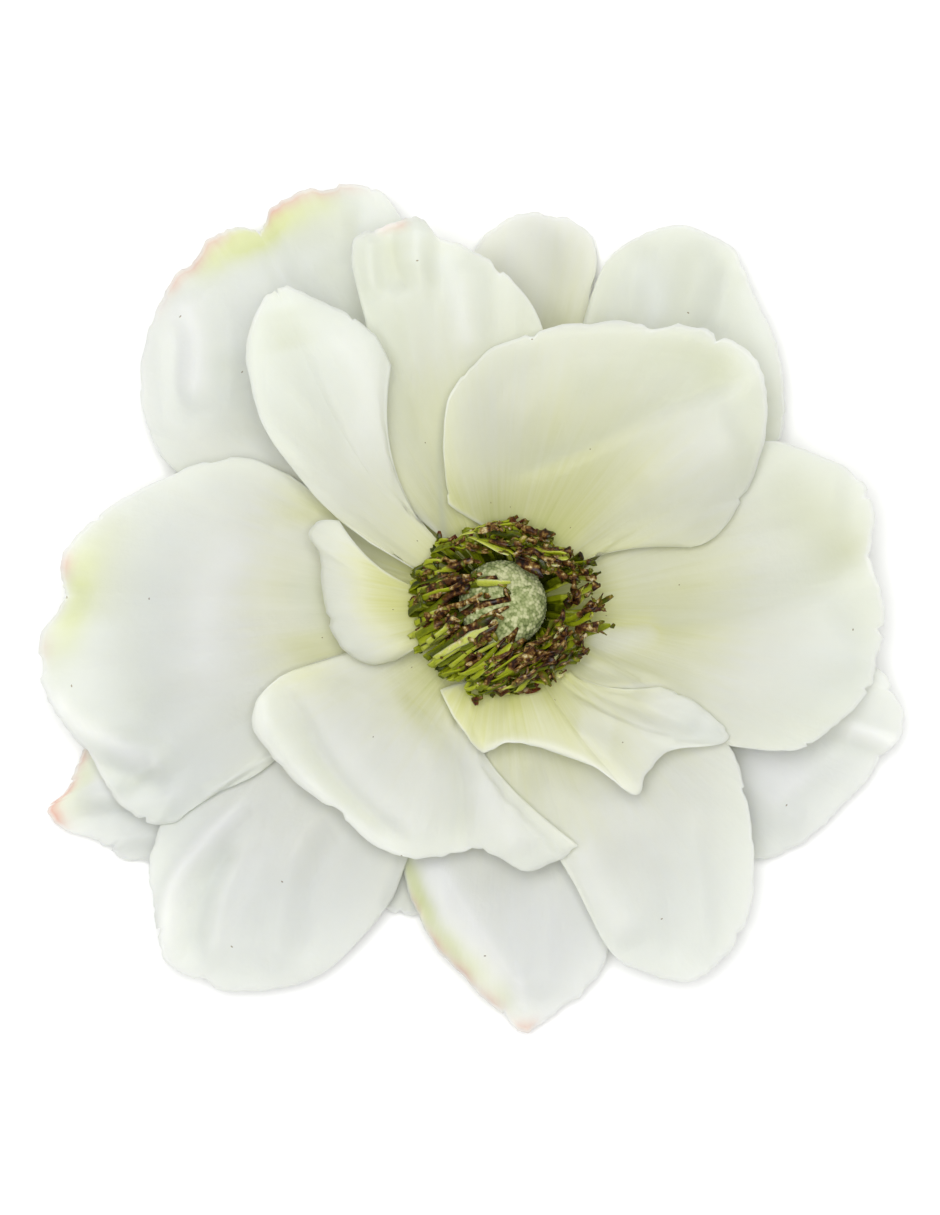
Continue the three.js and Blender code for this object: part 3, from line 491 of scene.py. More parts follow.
            [0.6, 2, 2, [-18.5, 32], [-15, 25.5], [-15.5, 17.5]],
        ],
        "lime": [[-26, 36.5, 1, 0.8]],
    },
    "petal_inner_left": {
        "green": -2,
        "ruffle": 0.3,
        "flush_and_painted_light": [[-14.5, 2.5, 5, 6], [-11.5, -1, 4, -2], [-13.5, -5.5, 3, -6], [-19.5, 1, 3.6, -14],
            [-18, -4.5, 3.6, -14], [-20, 8.5, 4, -8]],
    },
    "petal_inner_right_high": {
        "painted_light_shade": -0.45,
        "ruffle": 0.25,
        "lines": [
            [-1, 1.3, 4, [28.5, 27], [23, 25], [17, 22.5], [9, 18.5], [2.5, 16]],
            [0.8, 4, 4, [27, 20], [21.5, 17.5], [16, 14.5]],
            [0.5, 1.6, 1.6, [0, 30], [7, 31.5], [17, 31.5], [25, 30], [28.5, 25.5]],
            [-0.5, 2.2, 2.2, [2, 26.5], [11.5, 29], [21.5, 29], [27, 27]],
        ],
        "painted_bands": [
            [-0.7, 0.7, 2.6, [28, 27], [23, 25], [17, 22.5], [9, 18.5], [2.5, 16]],
            [0.5, 2.4, 2.4, [26, 20], [21.5, 17.5], [15, 14.5]],
            [-0.5, 2.4, 2.4, [28.5, 26], [29.5, 20.5], [28, 13.5]],
            [-0.8, 2.6, 2.6, [7, 25], [13.5, 27], [21.5, 29], [26, 26.5]],
            [0.5, 2.2, 2.2, [0, 24.5], [3.5, 22.5]],
        ],
        "flush_and_painted_light": [[11.5, 20.5, 7, 5], [7, 14, 6, 2], [-0.5, 19, 5, -5]],
    },
    "petal_inner_low_right": {
        "green": -3,
        "ruffle": 0.3,
        "lines": [
            [0.4, 0.7, 0.7, [-2, -16.5], [1, -15.5], [6, -16], [11, -18], [15, -21]],
            [-0.5, 1.5, 3, [0, -14], [7, -14], [14, -16.5]],
            [0.4, 3, 3, [16, -10.5], [22, -13.5]],
        ],
        "painted_bands": [
            [0.6, 0.6, 0.6, [-2, -16.5], [1, -15.5], [6, -16], [11, -18.5], [15, -21.5]],
            [0.5, 2.6, 2.6, [9, -14], [13, -14.5]],
            [0.5, 1.5, 1.5, [17, -9.5], [22, -11], [24.5, -14]],
        ],
        "flush_and_painted_light": [[0, -10.5, 5, 4], [23, -13, 5, -12]],
    },
}


def eased(x, low, high):
    """A smooth step: 0 below low, 1 above high, and 3t^2 - 2t^3 between."""
    t = np.clip((x - low) / (high - low), 0, 1)
    return t * t * (3 - 2 * t)


def bell(x):
    """A bump of height 1 and half width 1: exp(-x^2)."""
    return np.exp(-np.square(x))


def noise(x, y, seed):
    """Smooth random heights from -1 to 1: random values on the whole numbers, eased from one to the
    next."""
    size = 61
    lattice = np.random.default_rng(seed).uniform(-1, 1, (size, size))
    i, j = np.floor(x).astype(int), np.floor(y).astype(int)
    f, g = eased(x - i, 0, 1), eased(y - j, 0, 1)
    a, b = lattice[i % size, j % size], lattice[(i + 1) % size, j % size]
    c, d = lattice[i % size, (j + 1) % size], lattice[(i + 1) % size, (j + 1) % size]
    return (a * (1 - f) + b * f) * (1 - g) + (c * (1 - f) + d * f) * g


def spline(rows, t):
    """A uniform Catmull-Rom curve through rows of numbers, at t from 0 to 1, with straight run-outs."""
    rows = np.asarray(rows, float)
    last = len(rows) - 1
    rows = np.concatenate([2 * rows[:1] - rows[1:2], rows, 2 * rows[-1:] - rows[-2:-1]])
    place = np.clip(t, 0, 1) * last
    i = np.minimum(place.astype(int), last - 1)
    f = (place - i).reshape(place.shape + (1,) * (rows.ndim - 1))
    a, b, c, d = rows[i], rows[i + 1], rows[i + 2], rows[i + 3]
    return (2 * b + (c - a) * f + (2 * a - 5 * b + 4 * c - d) * f**2 + (3 * b - a - 3 * c + d) * f**3) / 2


def steps(rows, columns):
    """The parameters u and v at each node of a grid."""
    return np.meshgrid(np.linspace(0, 1, rows + 1), np.linspace(0, 1, columns + 1), indexing="ij")


def normals_of(grid):
    """The upward unit normal at each node: the step along times the step across."""
    n = np.cross(np.gradient(grid, axis=0), np.gradient(grid, axis=1))
    return n / np.maximum(np.linalg.norm(n, axis=-1, keepdims=True), 1e-9)


def blade(petal, u, v):
    """The middle of a petal's blade: each rib of constant v is a cubic Bezier curve that leaves the claw
    outwards and comes to the margin at its lean, and folds raise it by height * step(u) * bell(v)."""
    margin = spline(petal["margin"], v)
    bearing = np.radians(petal["bearing"] + (2 * v - 1) * petal["half"])
    outward = np.stack([np.cos(bearing), np.sin(bearing)], -1)
    claw = outward * CLAW_RING
    claw_height = LOWEST_CLAW + TIER_STEP * petal["tier"]
    chord = margin[..., :2] - claw
    length = np.linalg.norm(chord, axis=-1, keepdims=True)
    leave = outward + chord / length
    leave /= np.linalg.norm(leave, axis=-1, keepdims=True)
    bow_first, bow_last = petal.get("bow", (0, 0))
    bow = bow_first * (1 - v) ** 2 + bow_last * v**2
    sideways = np.stack([-chord[..., 1], chord[..., 0]], -1) * bow[..., None]
    second_place = 0.68
    start = np.concatenate([claw, np.full(length.shape, claw_height)], -1)
    first = np.concatenate([claw + leave * length / 3 + sideways, claw_height + petal["rise"] * length], -1)
    second = np.concatenate(
        [claw + chord * second_place + sideways, (margin[..., 2] + margin[..., 3])[..., None]], -1)
    w = u[..., None]
    grid = (1 - w) ** 3 * start + 3 * (1 - w) ** 2 * w * first
    grid += 3 * (1 - w) * w**2 * second + w**3 * margin[..., :3]
    for across, half_width, rise, begin in petal.get("folds", []):
        grid[..., 2] += rise * eased(u, begin, 1) * bell((v - across) / half_width)
    return grid


class Heap:
    """A map of how high the laid petals reach over each square cell of the floor."""

    def __init__(self, cell, cells):
        self.cell, self.cells = cell, cells
        self.top = np.full((cells, cells), -np.inf)

    def places(self, x, y):
        """The row and the column of the cells that points are over."""
        last = self.cells - 2
        return [np.clip(np.floor(c / self.cell + self.cells / 2).astype(int), 1, last) for c in (x, y)]

    def height(self, x, y, reach):
        """The highest that the heap is in the cell of a point and in those within reach of it."""
        i, j = self.places(x, y)
        near = range(-reach, reach + 1)
        return np.max([self.top[i + a, j + b] for a in near for b in near], axis=0)

    def add(self, grid, half_heights, finer):
        """Raises the heap to the upper face of a grid, read at a step so many times finer."""
        rows, columns = grid.shape[0] - 1, grid.shape[1] - 1
        i, j = np.divmod(np.arange(rows * finer), finer), np.divmod(np.arange(columns * finer), finer)
        f, g = (i[1] / finer)[:, None, None], (j[1] / finer)[None, :, None]
        row_ends = [[grid[np.ix_(i[0] + a, j[0] + b)] for b in (0, 1)] for a in (0, 1)]
        near, far = (left * (1 - g) + right * g for left, right in row_ends)
        point = near * (1 - f) + far * f
        cell = self.places(point[..., 0], point[..., 1])
        np.maximum.at(self.top, tuple(cell), point[..., 2] + half_heights[np.ix_(i[0], j[0])])


def spread(need, rounds):
    """Softens a lift round the places that need it: each round takes the mean of a node, twice, and its
    neighbours, and never less than the need. The claw, in the first row, stays where it is."""
    lift = need
    for _ in range(rounds):
        edged = np.pad(lift, 1, mode="edge")
        around = edged[:-2, 1:-1] + edged[2:, 1:-1] + edged[1:-1, :-2] + edged[1:-1, 2:] + 2 * lift
        lift = np.maximum(need, around / 6)
        lift[0] = 0
    return lift


CLAW_HELD = 0.12            # of a petal's length, over which a lift fades out towards the claw
LEVEL_SHARE = 0.4           # least height of a unit normal that a steep blade's thickness is reckoned by


def solid_lift(petal, heap):
    """How far the solid blade of a petal is lifted at each node of its coarse grid, to lie on the heap."""
    rows, columns = 20, 24
    u, v = steps(rows, columns)
    grid = blade(petal, u, v)
    half_heights = BLADE / 2 / np.maximum(normals_of(grid)[..., 2], LEVEL_SHARE)
    wanted = heap.height(grid[..., 0], grid[..., 1], reach=1) + LAY_GAP + half_heights - grid[..., 2]
    lift = spread(np.maximum(wanted, 0) * np.minimum(1, u / CLAW_HELD), rounds=14)
    grid[..., 2] = np.maximum(grid[..., 2] + lift, BLADE / 2)
    heap.add(grid, half_heights, finer=4)
    return lift


def lines_at(x, y, lines):
    """The sum of lines [amount, left, right, points], fading at both ends: amount * bell(distance / reach),
    where the distance is taken from the nearest station of a smooth line through the points, and its side
    from the tangent."""
    stations = 48
    total = 0 * x
    for amount, left, right, *points in lines:
        line = spline(points, np.linspace(0, 1, stations))
        offset = np.stack([x, y], -1)[..., None, :] - line
        nearest = np.square(offset).sum(-1).argmin(-1)
        offset = np.take_along_axis(offset, nearest[..., None, None], -2)[..., 0, :]
        tangent = np.gradient(line, axis=0)[nearest]
        step = np.linalg.norm(tangent, axis=-1)
        aside = (tangent[..., 0] * offset[..., 1] - tangent[..., 1] * offset[..., 0]) / step
        along = (nearest + (tangent * offset).sum(-1) / step**2) / (stations - 1)
        ends = eased(along, -0.12, 0.15) * (1 - eased(along, 0.85, 1.12))
        total += amount * ends * bell(aside / np.where(aside > 0, left, right))
    return total


def spots_at(x, y, spots):
    """The sum of round patches [x, y, radius, amount]: amount * bell(distance / radius)."""
    total = 0 * x
    for middle_x, middle_y, radius, amount in spots:
        total += amount * bell(np.hypot(x - middle_x, y - middle_y) / radius)
    return total


def veins_at(petal, x, y):
    """The place of points on the fan of a petal's veins, in millimetres: how far round the flower's axis
    they are from the petal's bearing, measured on a circle of 25 mm, and how far out."""
    circle = 25
    bearing = math.radians(petal["bearing"])
    forward = x * math.cos(bearing) + y * math.sin(bearing)
    aside = y * math.cos(bearing) - x * math.sin(bearing)
    return circle * np.arctan2(aside, forward), np.hypot(x, y)


# The waves of a petal's surface: [height, spacing across the veins and along them, slant, where on the way
# from the claw to the margin they start and are full, seed]. Broad and fine ribs fan out with the veins,
# silky waves lie aslant over them, and a fine crepe covers all.
WAVES = [
    [0.165, 5, 26, 0, 0.06, 0.4, 0], [0.105, 2.2, 15, 0, 0.06, 0.4, 1],
    [0.16, 5.5, 8, 0.5, 0.15, 0.5, 2], [0.045, 1.3, 3, 0, 0.2, 0.6, 5],
]
# The waves of the margin: [share of the ruffle's height, spacing across, spacing along, seed]
RUFFLES = [[0.6, 7.5, 40, 3], [0.4, 3.1, 40, 4]]
RUFFLE = 0.35               # height, where a petal has none of its own


def relief_of(petal, details, x, y, u, seed):
    """How far a petal's surface rises over its form, in millimetres: its own lines and swells, the waves,
    and the ruffle of the margin, which grows as u^5."""
    across, out = veins_at(petal, x, y)
    height = lines_at(x, y, details.get("lines", [])) + spots_at(x, y, details.get("swells", []))
    for rise, apart, long, slant, start, full, shift in WAVES:
        wave = noise((across + slant * out) / apart, out / long, seed + shift)
        height += rise * wave * eased(u, start, full)
    ruffle = details.get("ruffle", RUFFLE) * u**5
    for share, apart, long, shift in RUFFLES:
        height += ruffle * share * noise(across / apart, out / long, seed + shift)
    return height


# The wear of the margin: [depth, spacing along it, seed], and nicks where a noise nears its highest
FRAYS = [[0.13, 0.9, 0], [0.16, 2.6, 1]]
NICK_DEPTH = 0.55
NICK_SPACING = 1.7


def frayed(v, width, seed):
    """How far the margin stands out at v, or is worn back, in millimetres: the sum of depth * noise(distance
    along it / spacing), less the nicks."""
    along = v * width
    nicks = NICK_DEPTH * eased(noise(along / NICK_SPACING, 0 * v, seed + 2), 0.72, 0.95)
    return sum(depth * noise(along / apart, 0 * v, seed + shift) for depth, apart, shift in FRAYS) - nicks


def softened(grid, reach):
    """The heights of a grid's points, each the mean of those beside it along its row with the weight
    bell(distance / reach), so that a crease where ribs crowd together is eased."""
    beside_most = 12
    columns = np.arange(grid.shape[1])
    total = weight = 0
    for shift in range(-beside_most, beside_most + 1):
        beside = grid[:, np.clip(columns + shift, 0, columns[-1])]
        share = bell(np.linalg.norm(beside[..., :2] - grid[..., :2], axis=-1) / reach)
        total, weight = total + share * beside[..., 2], weight + share
    return total / weight


def parted(grid, u, rounds):
    """A grid with its inner nodes moved in plan towards the mean of their neighbours, round after round,
    the more the nearer they are to the margin, so that ribs that cross there part again."""
    share = 0.8 * eased(u, 0.3, 0.7)[1:-1, 1:-1, None]
    plan = grid[..., :2].copy()
    for _ in range(rounds):
        around = plan[:-2, 1:-1] + plan[2:, 1:-1] + plan[1:-1, :-2] + plan[1:-1, 2:]
        plan[1:-1, 1:-1] += share * (around / 4 - plan[1:-1, 1:-1])
    return np.concatenate([plan, grid[..., 2:]], -1)


# The grid of a petal has a row for each so many millimetres of its length, and so many columns for each
# millimetre of its margin. Creases narrower than the reach are softened.
ROW_STEP = 0.5
COLUMNS_PER_MM = 2.1
CREASE_REACH = 1.2
# A blade is stouter by this factor at the claw, and thins to this share of itself within so many
# millimetres of an edge
CLAW_STOUTNESS = 2.2
EDGE_THINNESS = 0.5
EDGE_TAPER = 1.2
# Within so many millimetres of an edge, a petal closes this share of its gap to the petals below, if the
# gap is small
SETTLING_WIDTH = 6
SETTLING = 0.7
SMALL_GAP = 2.2
NO_PETAL_BELOW = 20         # stands for the gap where none is


def tints_of(details, x, y, u, inside, flank):
    """The values that colour a petal at its points, inside its margin and flanks by so many millimetres: the
    distance from the flower's axis, less how far the green is pushed out, which is partly painted light; the
    paleness, a painted highlight or painted shade; and the blush, the lime and the pale line near its edges,
    which is a painted highlight."""
    return {
        # The flush is the green of the claw, and in places painted light that lifts tissue lying in shade
        "radius": np.hypot(x, y) - details.get("green", 0) - spots_at(x, y, details.get("flush_and_painted_light", [])),
        "painted_light_shade": details.get("painted_light_shade", 0) + lines_at(x, y, details.get("painted_bands", [])),
        "blush": spots_at(x, y, details.get("blush", [])) * bell(inside / 1.3),
        "lime": spots_at(x, y, details.get("lime", [])) * bell((inside - 2) / 2.6),
        # The pale line along the margin and the flanks is a painted highlight, for thin edges catching the
        # light
        "margin": np.maximum(bell(inside / 0.3), bell(flank / 0.3) * eased(u, 0.3, 0.5)),
    }


def laid_petal(petal, lift, heap, seed):
    """The finished blade of a petal on the heap: its points, half thicknesses, tints and map of veins."""
    details = DETAILS.get(petal["name"], {})
    edge = spline(petal["margin"], np.linspace(0, 1, num=200))[:, :2]
    width = np.linalg.norm(np.diff(edge, axis=0), axis=1).sum()
    length = np.linalg.norm(edge, axis=1).mean() - CLAW_RING
    u, v = steps(round(length / ROW_STEP), round(width * COLUMNS_PER_MM))
    grid = blade(petal, u + frayed(v, width, seed) / length * u**9, v)
    grid[..., 2] += spline(spline(lift, u[:, 0]).T, v[0]).T
    grid = parted(grid, u, details.get("parted", 0))
    x, y = grid[..., 0], grid[..., 1]
    grid[..., 2] = softened(grid, CREASE_REACH) + relief_of(petal, details, x, y, u, seed)
    inside, flank = (1 - u) * length, np.minimum(v, 1 - v) * width * u
    half = LEAF / 2 * (CLAW_STOUTNESS - (CLAW_STOUTNESS - 1) * eased(u, 0, 0.3))
    half *= EDGE_THINNESS + (1 - EDGE_THINNESS) * eased(inside, 0, EDGE_TAPER)
    half *= EDGE_THINNESS + (1 - EDGE_THINNESS) * eased(flank, -0.3, EDGE_TAPER)
    wanted = heap.height(x, y, reach=0) + LEAF_GAP + half - grid[..., 2]
    gap = np.clip(-wanted, 0, NO_PETAL_BELOW)
    near_edge = 1 - eased(np.minimum(inside, flank), 0, SETTLING_WIDTH)
    settled = SETTLING * gap * bell(gap / SMALL_GAP) * near_edge
    change = np.where(wanted > 0, wanted, -settled) * np.minimum(1, u / CLAW_HELD)
    grid[..., 2] = np.maximum(grid[..., 2] + spread(change, rounds=8), half)
    heap.add(grid, half, finer=3)
    return grid, half, tints_of(details, x, y, u, inside, flank), veins_at(petal, x, y)


def sheet(grid, half):
    """A closed skin round a grid of points: an upper and a lower face at half the thickness along the
    normals, and a strip round the edge. Returns the points, the quads, and which quads are the strip's."""
    rows, columns = grid.shape[:2]
    offset = normals_of(grid) * half[..., None]
    points = np.concatenate([(grid + offset).reshape(-1, 3), (grid - offset).reshape(-1, 3)])
    points[:, 2] = np.maximum(points[:, 2], 0)
    under = rows * columns
    number = np.arange(under).reshape(rows, columns)
    a, b, c, d = number[:-1, :-1], number[1:, :-1], number[1:, 1:], number[:-1, 1:]
    upper = np.stack([a, b, c, d], -1).reshape(-1, 4)
    rim = np.concatenate([number[:-1, 0], number[-1, :-1], number[:0:-1, -1], number[0, :0:-1]])
    following = np.roll(rim, -1)
    strip = np.stack([rim, rim + under, following + under, following], -1)
    quads = np.concatenate([upper, upper[:, ::-1] + under, strip])
    return points, quads, np.arange(len(quads)) >= 2 * len(upper)


def add_mesh(name, points, faces, material, node, tints=None, coordinates=None, flat=None):
    """Makes a piece of the part from points in millimetres from the flower's axis and arrays of faces, one
    array for each number of corners. Tints are values at the points, and coordinates are their places on
    the map of veins."""
    mesh = bpy.data.meshes.new(name)
    mesh.vertices.add(len(points))
    mesh.vertices.foreach_set("co", ((points + axis_place) * MM).astype(np.float32).ravel())
    corners = np.concatenate([kind.ravel() for kind in faces]).astype(np.int32)
    sizes = np.concatenate([np.full(len(kind), kind.shape[1]) for kind in faces])
    mesh.loops.add(len(corners))
    mesh.loops.foreach_set("vertex_index", corners)
    mesh.polygons.add(len(sizes))
    mesh.polygons.foreach_set("loop_start", (np.cumsum(sizes) - sizes).astype(np.int32))
    mesh.update(calc_edges=True)
    mesh.shade_smooth()
    if flat is not None:
        mesh.attributes.new("sharp_face", "BOOLEAN", "FACE").data.foreach_set("value", flat)
    if coordinates is not None:
        layer = mesh.uv_layers.new(name="veins")
        layer.uv.foreach_set("vector", coordinates[corners].astype(np.float32).ravel())
    for tint, values in (tints or {}).items():
        attribute = mesh.attributes.new(tint, "FLOAT", "POINT")
        attribute.data.foreach_set("value", np.asarray(values, np.float32).ravel())
    mesh.materials.append(material)
    mesh.validate()
    piece = bpy.data.objects.new(name, mesh)
    bpy.context.scene.collection.objects.link(piece)
    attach(piece, "root")
    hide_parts(node)


def add_petal(petal, lift, heap, material, seed):
    """Lays a petal on the heap and makes its mesh, with the same tints and map on both of its faces."""
    grid, half, tints, (across, along) = laid_petal(petal, lift, heap, seed)
    points, quads, strip = sheet(grid, half)
    coordinates = np.tile(np.stack([across, along], -1).reshape(-1, 2) / MAP_UNIT, (2, 1))
    tints = {tint: np.tile(values.ravel(), 2) for tint, values in tints.items()}
    name = petal["name"]
    add_mesh(name + "_blade", points, [quads], material, name, tints, coordinates, strip)


# The stamens stand in whorls, here from the inside out: how many, how far out they bulge, the reach and the
# height of their tips, how much of the ring's sweep they share, and the least and the most of their length
# that is torn and brown
WHORLS = [
    {"count": 30, "bulge": 7.3, "reach": 5.2, "top": 17.5, "sweep": 1, "torn": [0.08, 0.28]},
    {"count": 38, "bulge": 8.1, "reach": 6.4, "top": 17.2, "sweep": 1, "torn": [0.08, 0.3]},
    {"count": 44, "bulge": 8.9, "reach": 7.8, "top": 16.2, "sweep": 0.85, "torn": [0.08, 0.28]},
    {"count": 44, "bulge": 9.4, "reach": 9.2, "top": 14.9, "sweep": 0.55, "torn": [0.08, 0.2]},
    {"count": 26, "bulge": 9.8, "reach": 9.9, "top": 12.8, "sweep": 0.35, "torn": [0.08, 0.2]},
]
INNER_WHORLS = 3            # sparse on the right of the ring, with a hollow at its upper left
HOLLOW_BEARING = 2.3        # radians
HOLLOW_HALF = 0.4
OUTERMOST = len(WHORLS) - 1
BULGE = np.array([-0.9, -0.2])      # how far the whole ring bulges to the side
SWEEP = np.array([3.1, 2.4])        # and its tips are swept
STAMEN_FOOT = 4.6           # from the axis
FILAMENT_STATIONS = 22
FILAMENT_WIDTH = 0.66
ANTHER_WIDTH = 0.85
STRAP_SIDES = 6
COLLAR_TOP = HEAD_TOP + SEAT_GAP + 1
COLLAR = [[3.5, COLLAR_TOP - 1], [5.15, COLLAR_TOP - 1], [5.2, COLLAR_TOP - 0.2], [4.5, COLLAR_TOP],
          [3.6, COLLAR_TOP - 0.1]]

PISTIL_FOOT = HEAD_TOP + SEAT_GAP + 1.2
# The stamens keep out of a flattened ball over the dome
CLEAR_BALL_MIDDLE = [0.3, 0.5, PISTIL_FOOT + 2.9]
CLEAR_BALL_SCALE = [1, 1, 0.6]
CLEAR_BALL_RADIUS = 5.35


def straps(paths, sideways, widths, depths, twists):
    """Straps swept along paths, all at once. The arrays are [station, strap, ...], and the section at a
    station is an ellipse of six points, width * cos(k) across the path and depth * sin(k) off it, turned by
    its twist."""
    stations, count = paths.shape[:2]
    tangent = np.gradient(paths, axis=0)
    tangent /= np.linalg.norm(tangent, axis=-1, keepdims=True)
    across = sideways - tangent * (sideways * tangent).sum(-1, keepdims=True)
    across /= np.linalg.norm(across, axis=-1, keepdims=True)
    off = np.cross(tangent, across)
    turn, counter = np.cos(twists)[..., None], np.sin(twists)[..., None]
    across, off = across * turn + off * counter, off * turn - across * counter
    angle = np.arange(STRAP_SIDES) * 2 * math.pi / STRAP_SIDES
    wide = (widths / 2)[..., None] * np.cos(angle)
    deep = (depths / 2)[..., None] * np.sin(angle)
    points = paths[:, :, None] + across[:, :, None] * wide[..., None] + off[:, :, None] * deep[..., None]
    number = np.arange(stations * count * STRAP_SIDES).reshape(stations, count, STRAP_SIDES)
    beside = np.roll(number, -1, axis=2)
    walls = np.stack([number[:-1], beside[:-1], beside[1:], number[1:]], -1).reshape(-1, 4)
    caps = [number[end][:, corners] for end, corners in
            ((0, [3, 2, 1, 0]), (0, [5, 4, 3, 0]), (-1, [0, 1, 2, 3]), (-1, [0, 3, 4, 5]))]
    return points.reshape(-1, 3), np.concatenate([walls, *caps])


def on_straps(values, stations, count):
    """Values at the stations of straps, repeated for each corner of their sections."""
    return np.repeat(np.broadcast_to(values, (stations, count)).ravel(), STRAP_SIDES)


def stamen_paths(heap, random):
    """The middle lines of all the stamens, [station, stamen, 3]: each leaves the collar, bulges out, and
    curls over to a tip at its whorl's reach plus its share of the sweep, which runs along the ring at the
    top of the flower. Also the way across each one, its torn share and the number of its whorl."""
    paths, sideways, torn, whorls = [], [], [], []
    t = np.linspace(0, 1, FILAMENT_STATIONS)
    for number, whorl in enumerate(WHORLS):
        count = whorl["count"]
        place = np.arange(count) + 0.5 * (number % 2) + random.uniform(-0.4, 0.4, count)
        angle = place * 2 * math.pi / count
        outward = np.stack([np.cos(angle), np.sin(angle)], -1)
        bulge = whorl["bulge"] + random.uniform(-0.4, 0.4, count)[:, None]
        reach = whorl["reach"] + random.uniform(-1.1, 1.1, count)[:, None]
        top = whorl["top"] + random.uniform(-1.1, 0.9, count)
        upper = np.maximum(outward[:, 1], 0)
        swept = np.stack([1 + 0.6 * np.abs(outward[:, 1]), 1 - 0.95 * upper], -1)
        share = whorl["sweep"] * random.uniform(0.6, 1.3, (count, 1))
        reach = reach * (1 - 0.1 * upper[:, None])
        tip = outward * reach + SWEEP * share * swept + random.uniform(-0.9, 0.9, (count, 2))
        control = [
            (outward * STAMEN_FOOT, COLLAR_TOP - 0.5),
            (outward * bulge * 0.78 + BULGE / 2, COLLAR_TOP + 1.3),
            (outward * bulge + BULGE, (COLLAR_TOP + top) / 2 + 0.5),
            (tip, top),
        ]
        control = [np.column_stack([plan, np.broadcast_to(height, count)]) for plan, height in control]
        inner = number < INNER_WHORLS
        kept = random.uniform(0, 1, count) > 0.6 * inner * np.maximum(outward[:, 0], 0)
        kept &= ~(inner & (np.abs(angle - HOLLOW_BEARING) < HOLLOW_HALF))
        paths.append(spline(control, t)[:, kept])
        sideways.append(np.stack([-outward[:, 1], outward[:, 0], np.zeros(count)], -1)[kept])
        torn.append(random.uniform(*whorl["torn"], count)[kept])
        whorls.append(np.full(count, number)[kept])
    paths, sideways, torn, whorls = np.concatenate(paths, 1), *map(np.concatenate, (sideways, torn, whorls))
    # Over the petals, but for the part near the collar
    lowest = heap.height(paths[..., 0], paths[..., 1], reach=0) + LEAF_GAP + 0.3
    paths[..., 2] = np.where(t[:, None] > 0.1, np.maximum(paths[..., 2], lowest), paths[..., 2])
    apart = (paths - CLEAR_BALL_MIDDLE) / CLEAR_BALL_SCALE
    apart *= np.maximum(1, CLEAR_BALL_RADIUS / np.linalg.norm(apart, axis=-1, keepdims=True))
    return CLEAR_BALL_MIDDLE + apart * CLEAR_BALL_SCALE, sideways, torn, whorls


def torn_stamens(random, paths, sideways, torn, whorls):
    """Straps along the paths whose ends are torn into ragged anthers: their width, depth and path wander
    from station to station. One strap in twelve stays whole, and is broad and pale at its end."""
    stations, count = paths.shape[:2]
    t = np.linspace(0, 1, stations)[:, None]
    whole = random.uniform(0, 1, count) < 1 / 12
    anther = eased(t, 1 - torn - 0.06, 1 - torn + 0.06) * np.where(whole, 0.25, 1)
    broad = 1 + 0.7 * whole * eased(t, 0.7, 0.95)
    ragged = 1 + anther * random.uniform(-0.6, 1, (stations, count))
    closing = 1 - 0.5 * eased(t, 0.96, 1)
    filament = FILAMENT_WIDTH * random.uniform(0.75, 1.25, count) * (0.8 + 0.35 * np.sin(math.pi * t))
    widths = (filament * (1 - anther) + ANTHER_WIDTH * anther) * ragged * broad * closing
    depths = (0.24 + 0.34 * anther * random.uniform(0.4, 1.6, (stations, count))) * closing
    twists = random.uniform(-0.5, 0.5, count) * t + random.uniform(-1.2, 1.2, count) * eased(t, 0.5, 1)
    wander = random.uniform(-0.36, 0.36, (stations, count, 3)) * anther[..., None]
    edge_corners = np.abs(np.cos(np.arange(STRAP_SIDES) * 2 * math.pi / STRAP_SIDES)) > 0.9
    # Tone differs at random from strap to strap and rises towards the pale ends of whole ones; the lower part
    # of every strap, down in the ring, is made darker as painted shade
    tone = random.uniform(0, 1, count) + 0.4 * whole * t - 0.4 * (t < 0.4)
    return *straps(paths + wander, sideways, widths, depths, twists), {
        "torn": on_straps(anther, stations, count), "tone": on_straps(tone, stations, count),
        "ruddy": on_straps((whorls == OUTERMOST) * eased(t, 0.7, 0.9), stations, count),
        "fringe": np.tile(edge_corners, stations * count)}


def anther_scraps(random, paths, sideways, whorls):
    """Three scraps to each stamen, that curl down off its last stations: start + aim * s - 0.35 * s^2."""
    stations, count = paths.shape[:2]
    scraps = 3 * count
    last = 6
    source = np.arange(scraps) % count
    start = paths[random.integers(stations - last, stations, scraps), source]
    aim = paths[-1, source] - paths[-last, source]
    aim = aim / np.linalg.norm(aim, axis=-1, keepdims=True) + random.normal(0, 0.9, (scraps, 3))
    aim[:, 2] = np.abs(aim[:, 2])
    long = random.uniform(0.3, 0.8, scraps)[:, None]
    shape = (4, scraps)
    s = np.linspace(0, 1, shape[0])[:, None]
    curled = start + aim * long * s[..., None] + np.array([0, 0, -0.35]) * s[..., None] ** 2
    widths = random.uniform(0.3, 1, scraps) * np.array([0.8, 1, 0.9, 0.5])[:, None]
    twists = random.uniform(-1.5, 1.5, shape) * s
    points, quads = straps(curled, sideways[source], widths, np.full(shape, 0.14), twists)
    return points, quads, {
        "torn": np.full(len(points), 0.75), "tone": on_straps(random.uniform(0, 1, scraps), *shape),
        "ruddy": on_straps(whorls[source] == OUTERMOST, *shape), "fringe": np.zeros(len(points))}


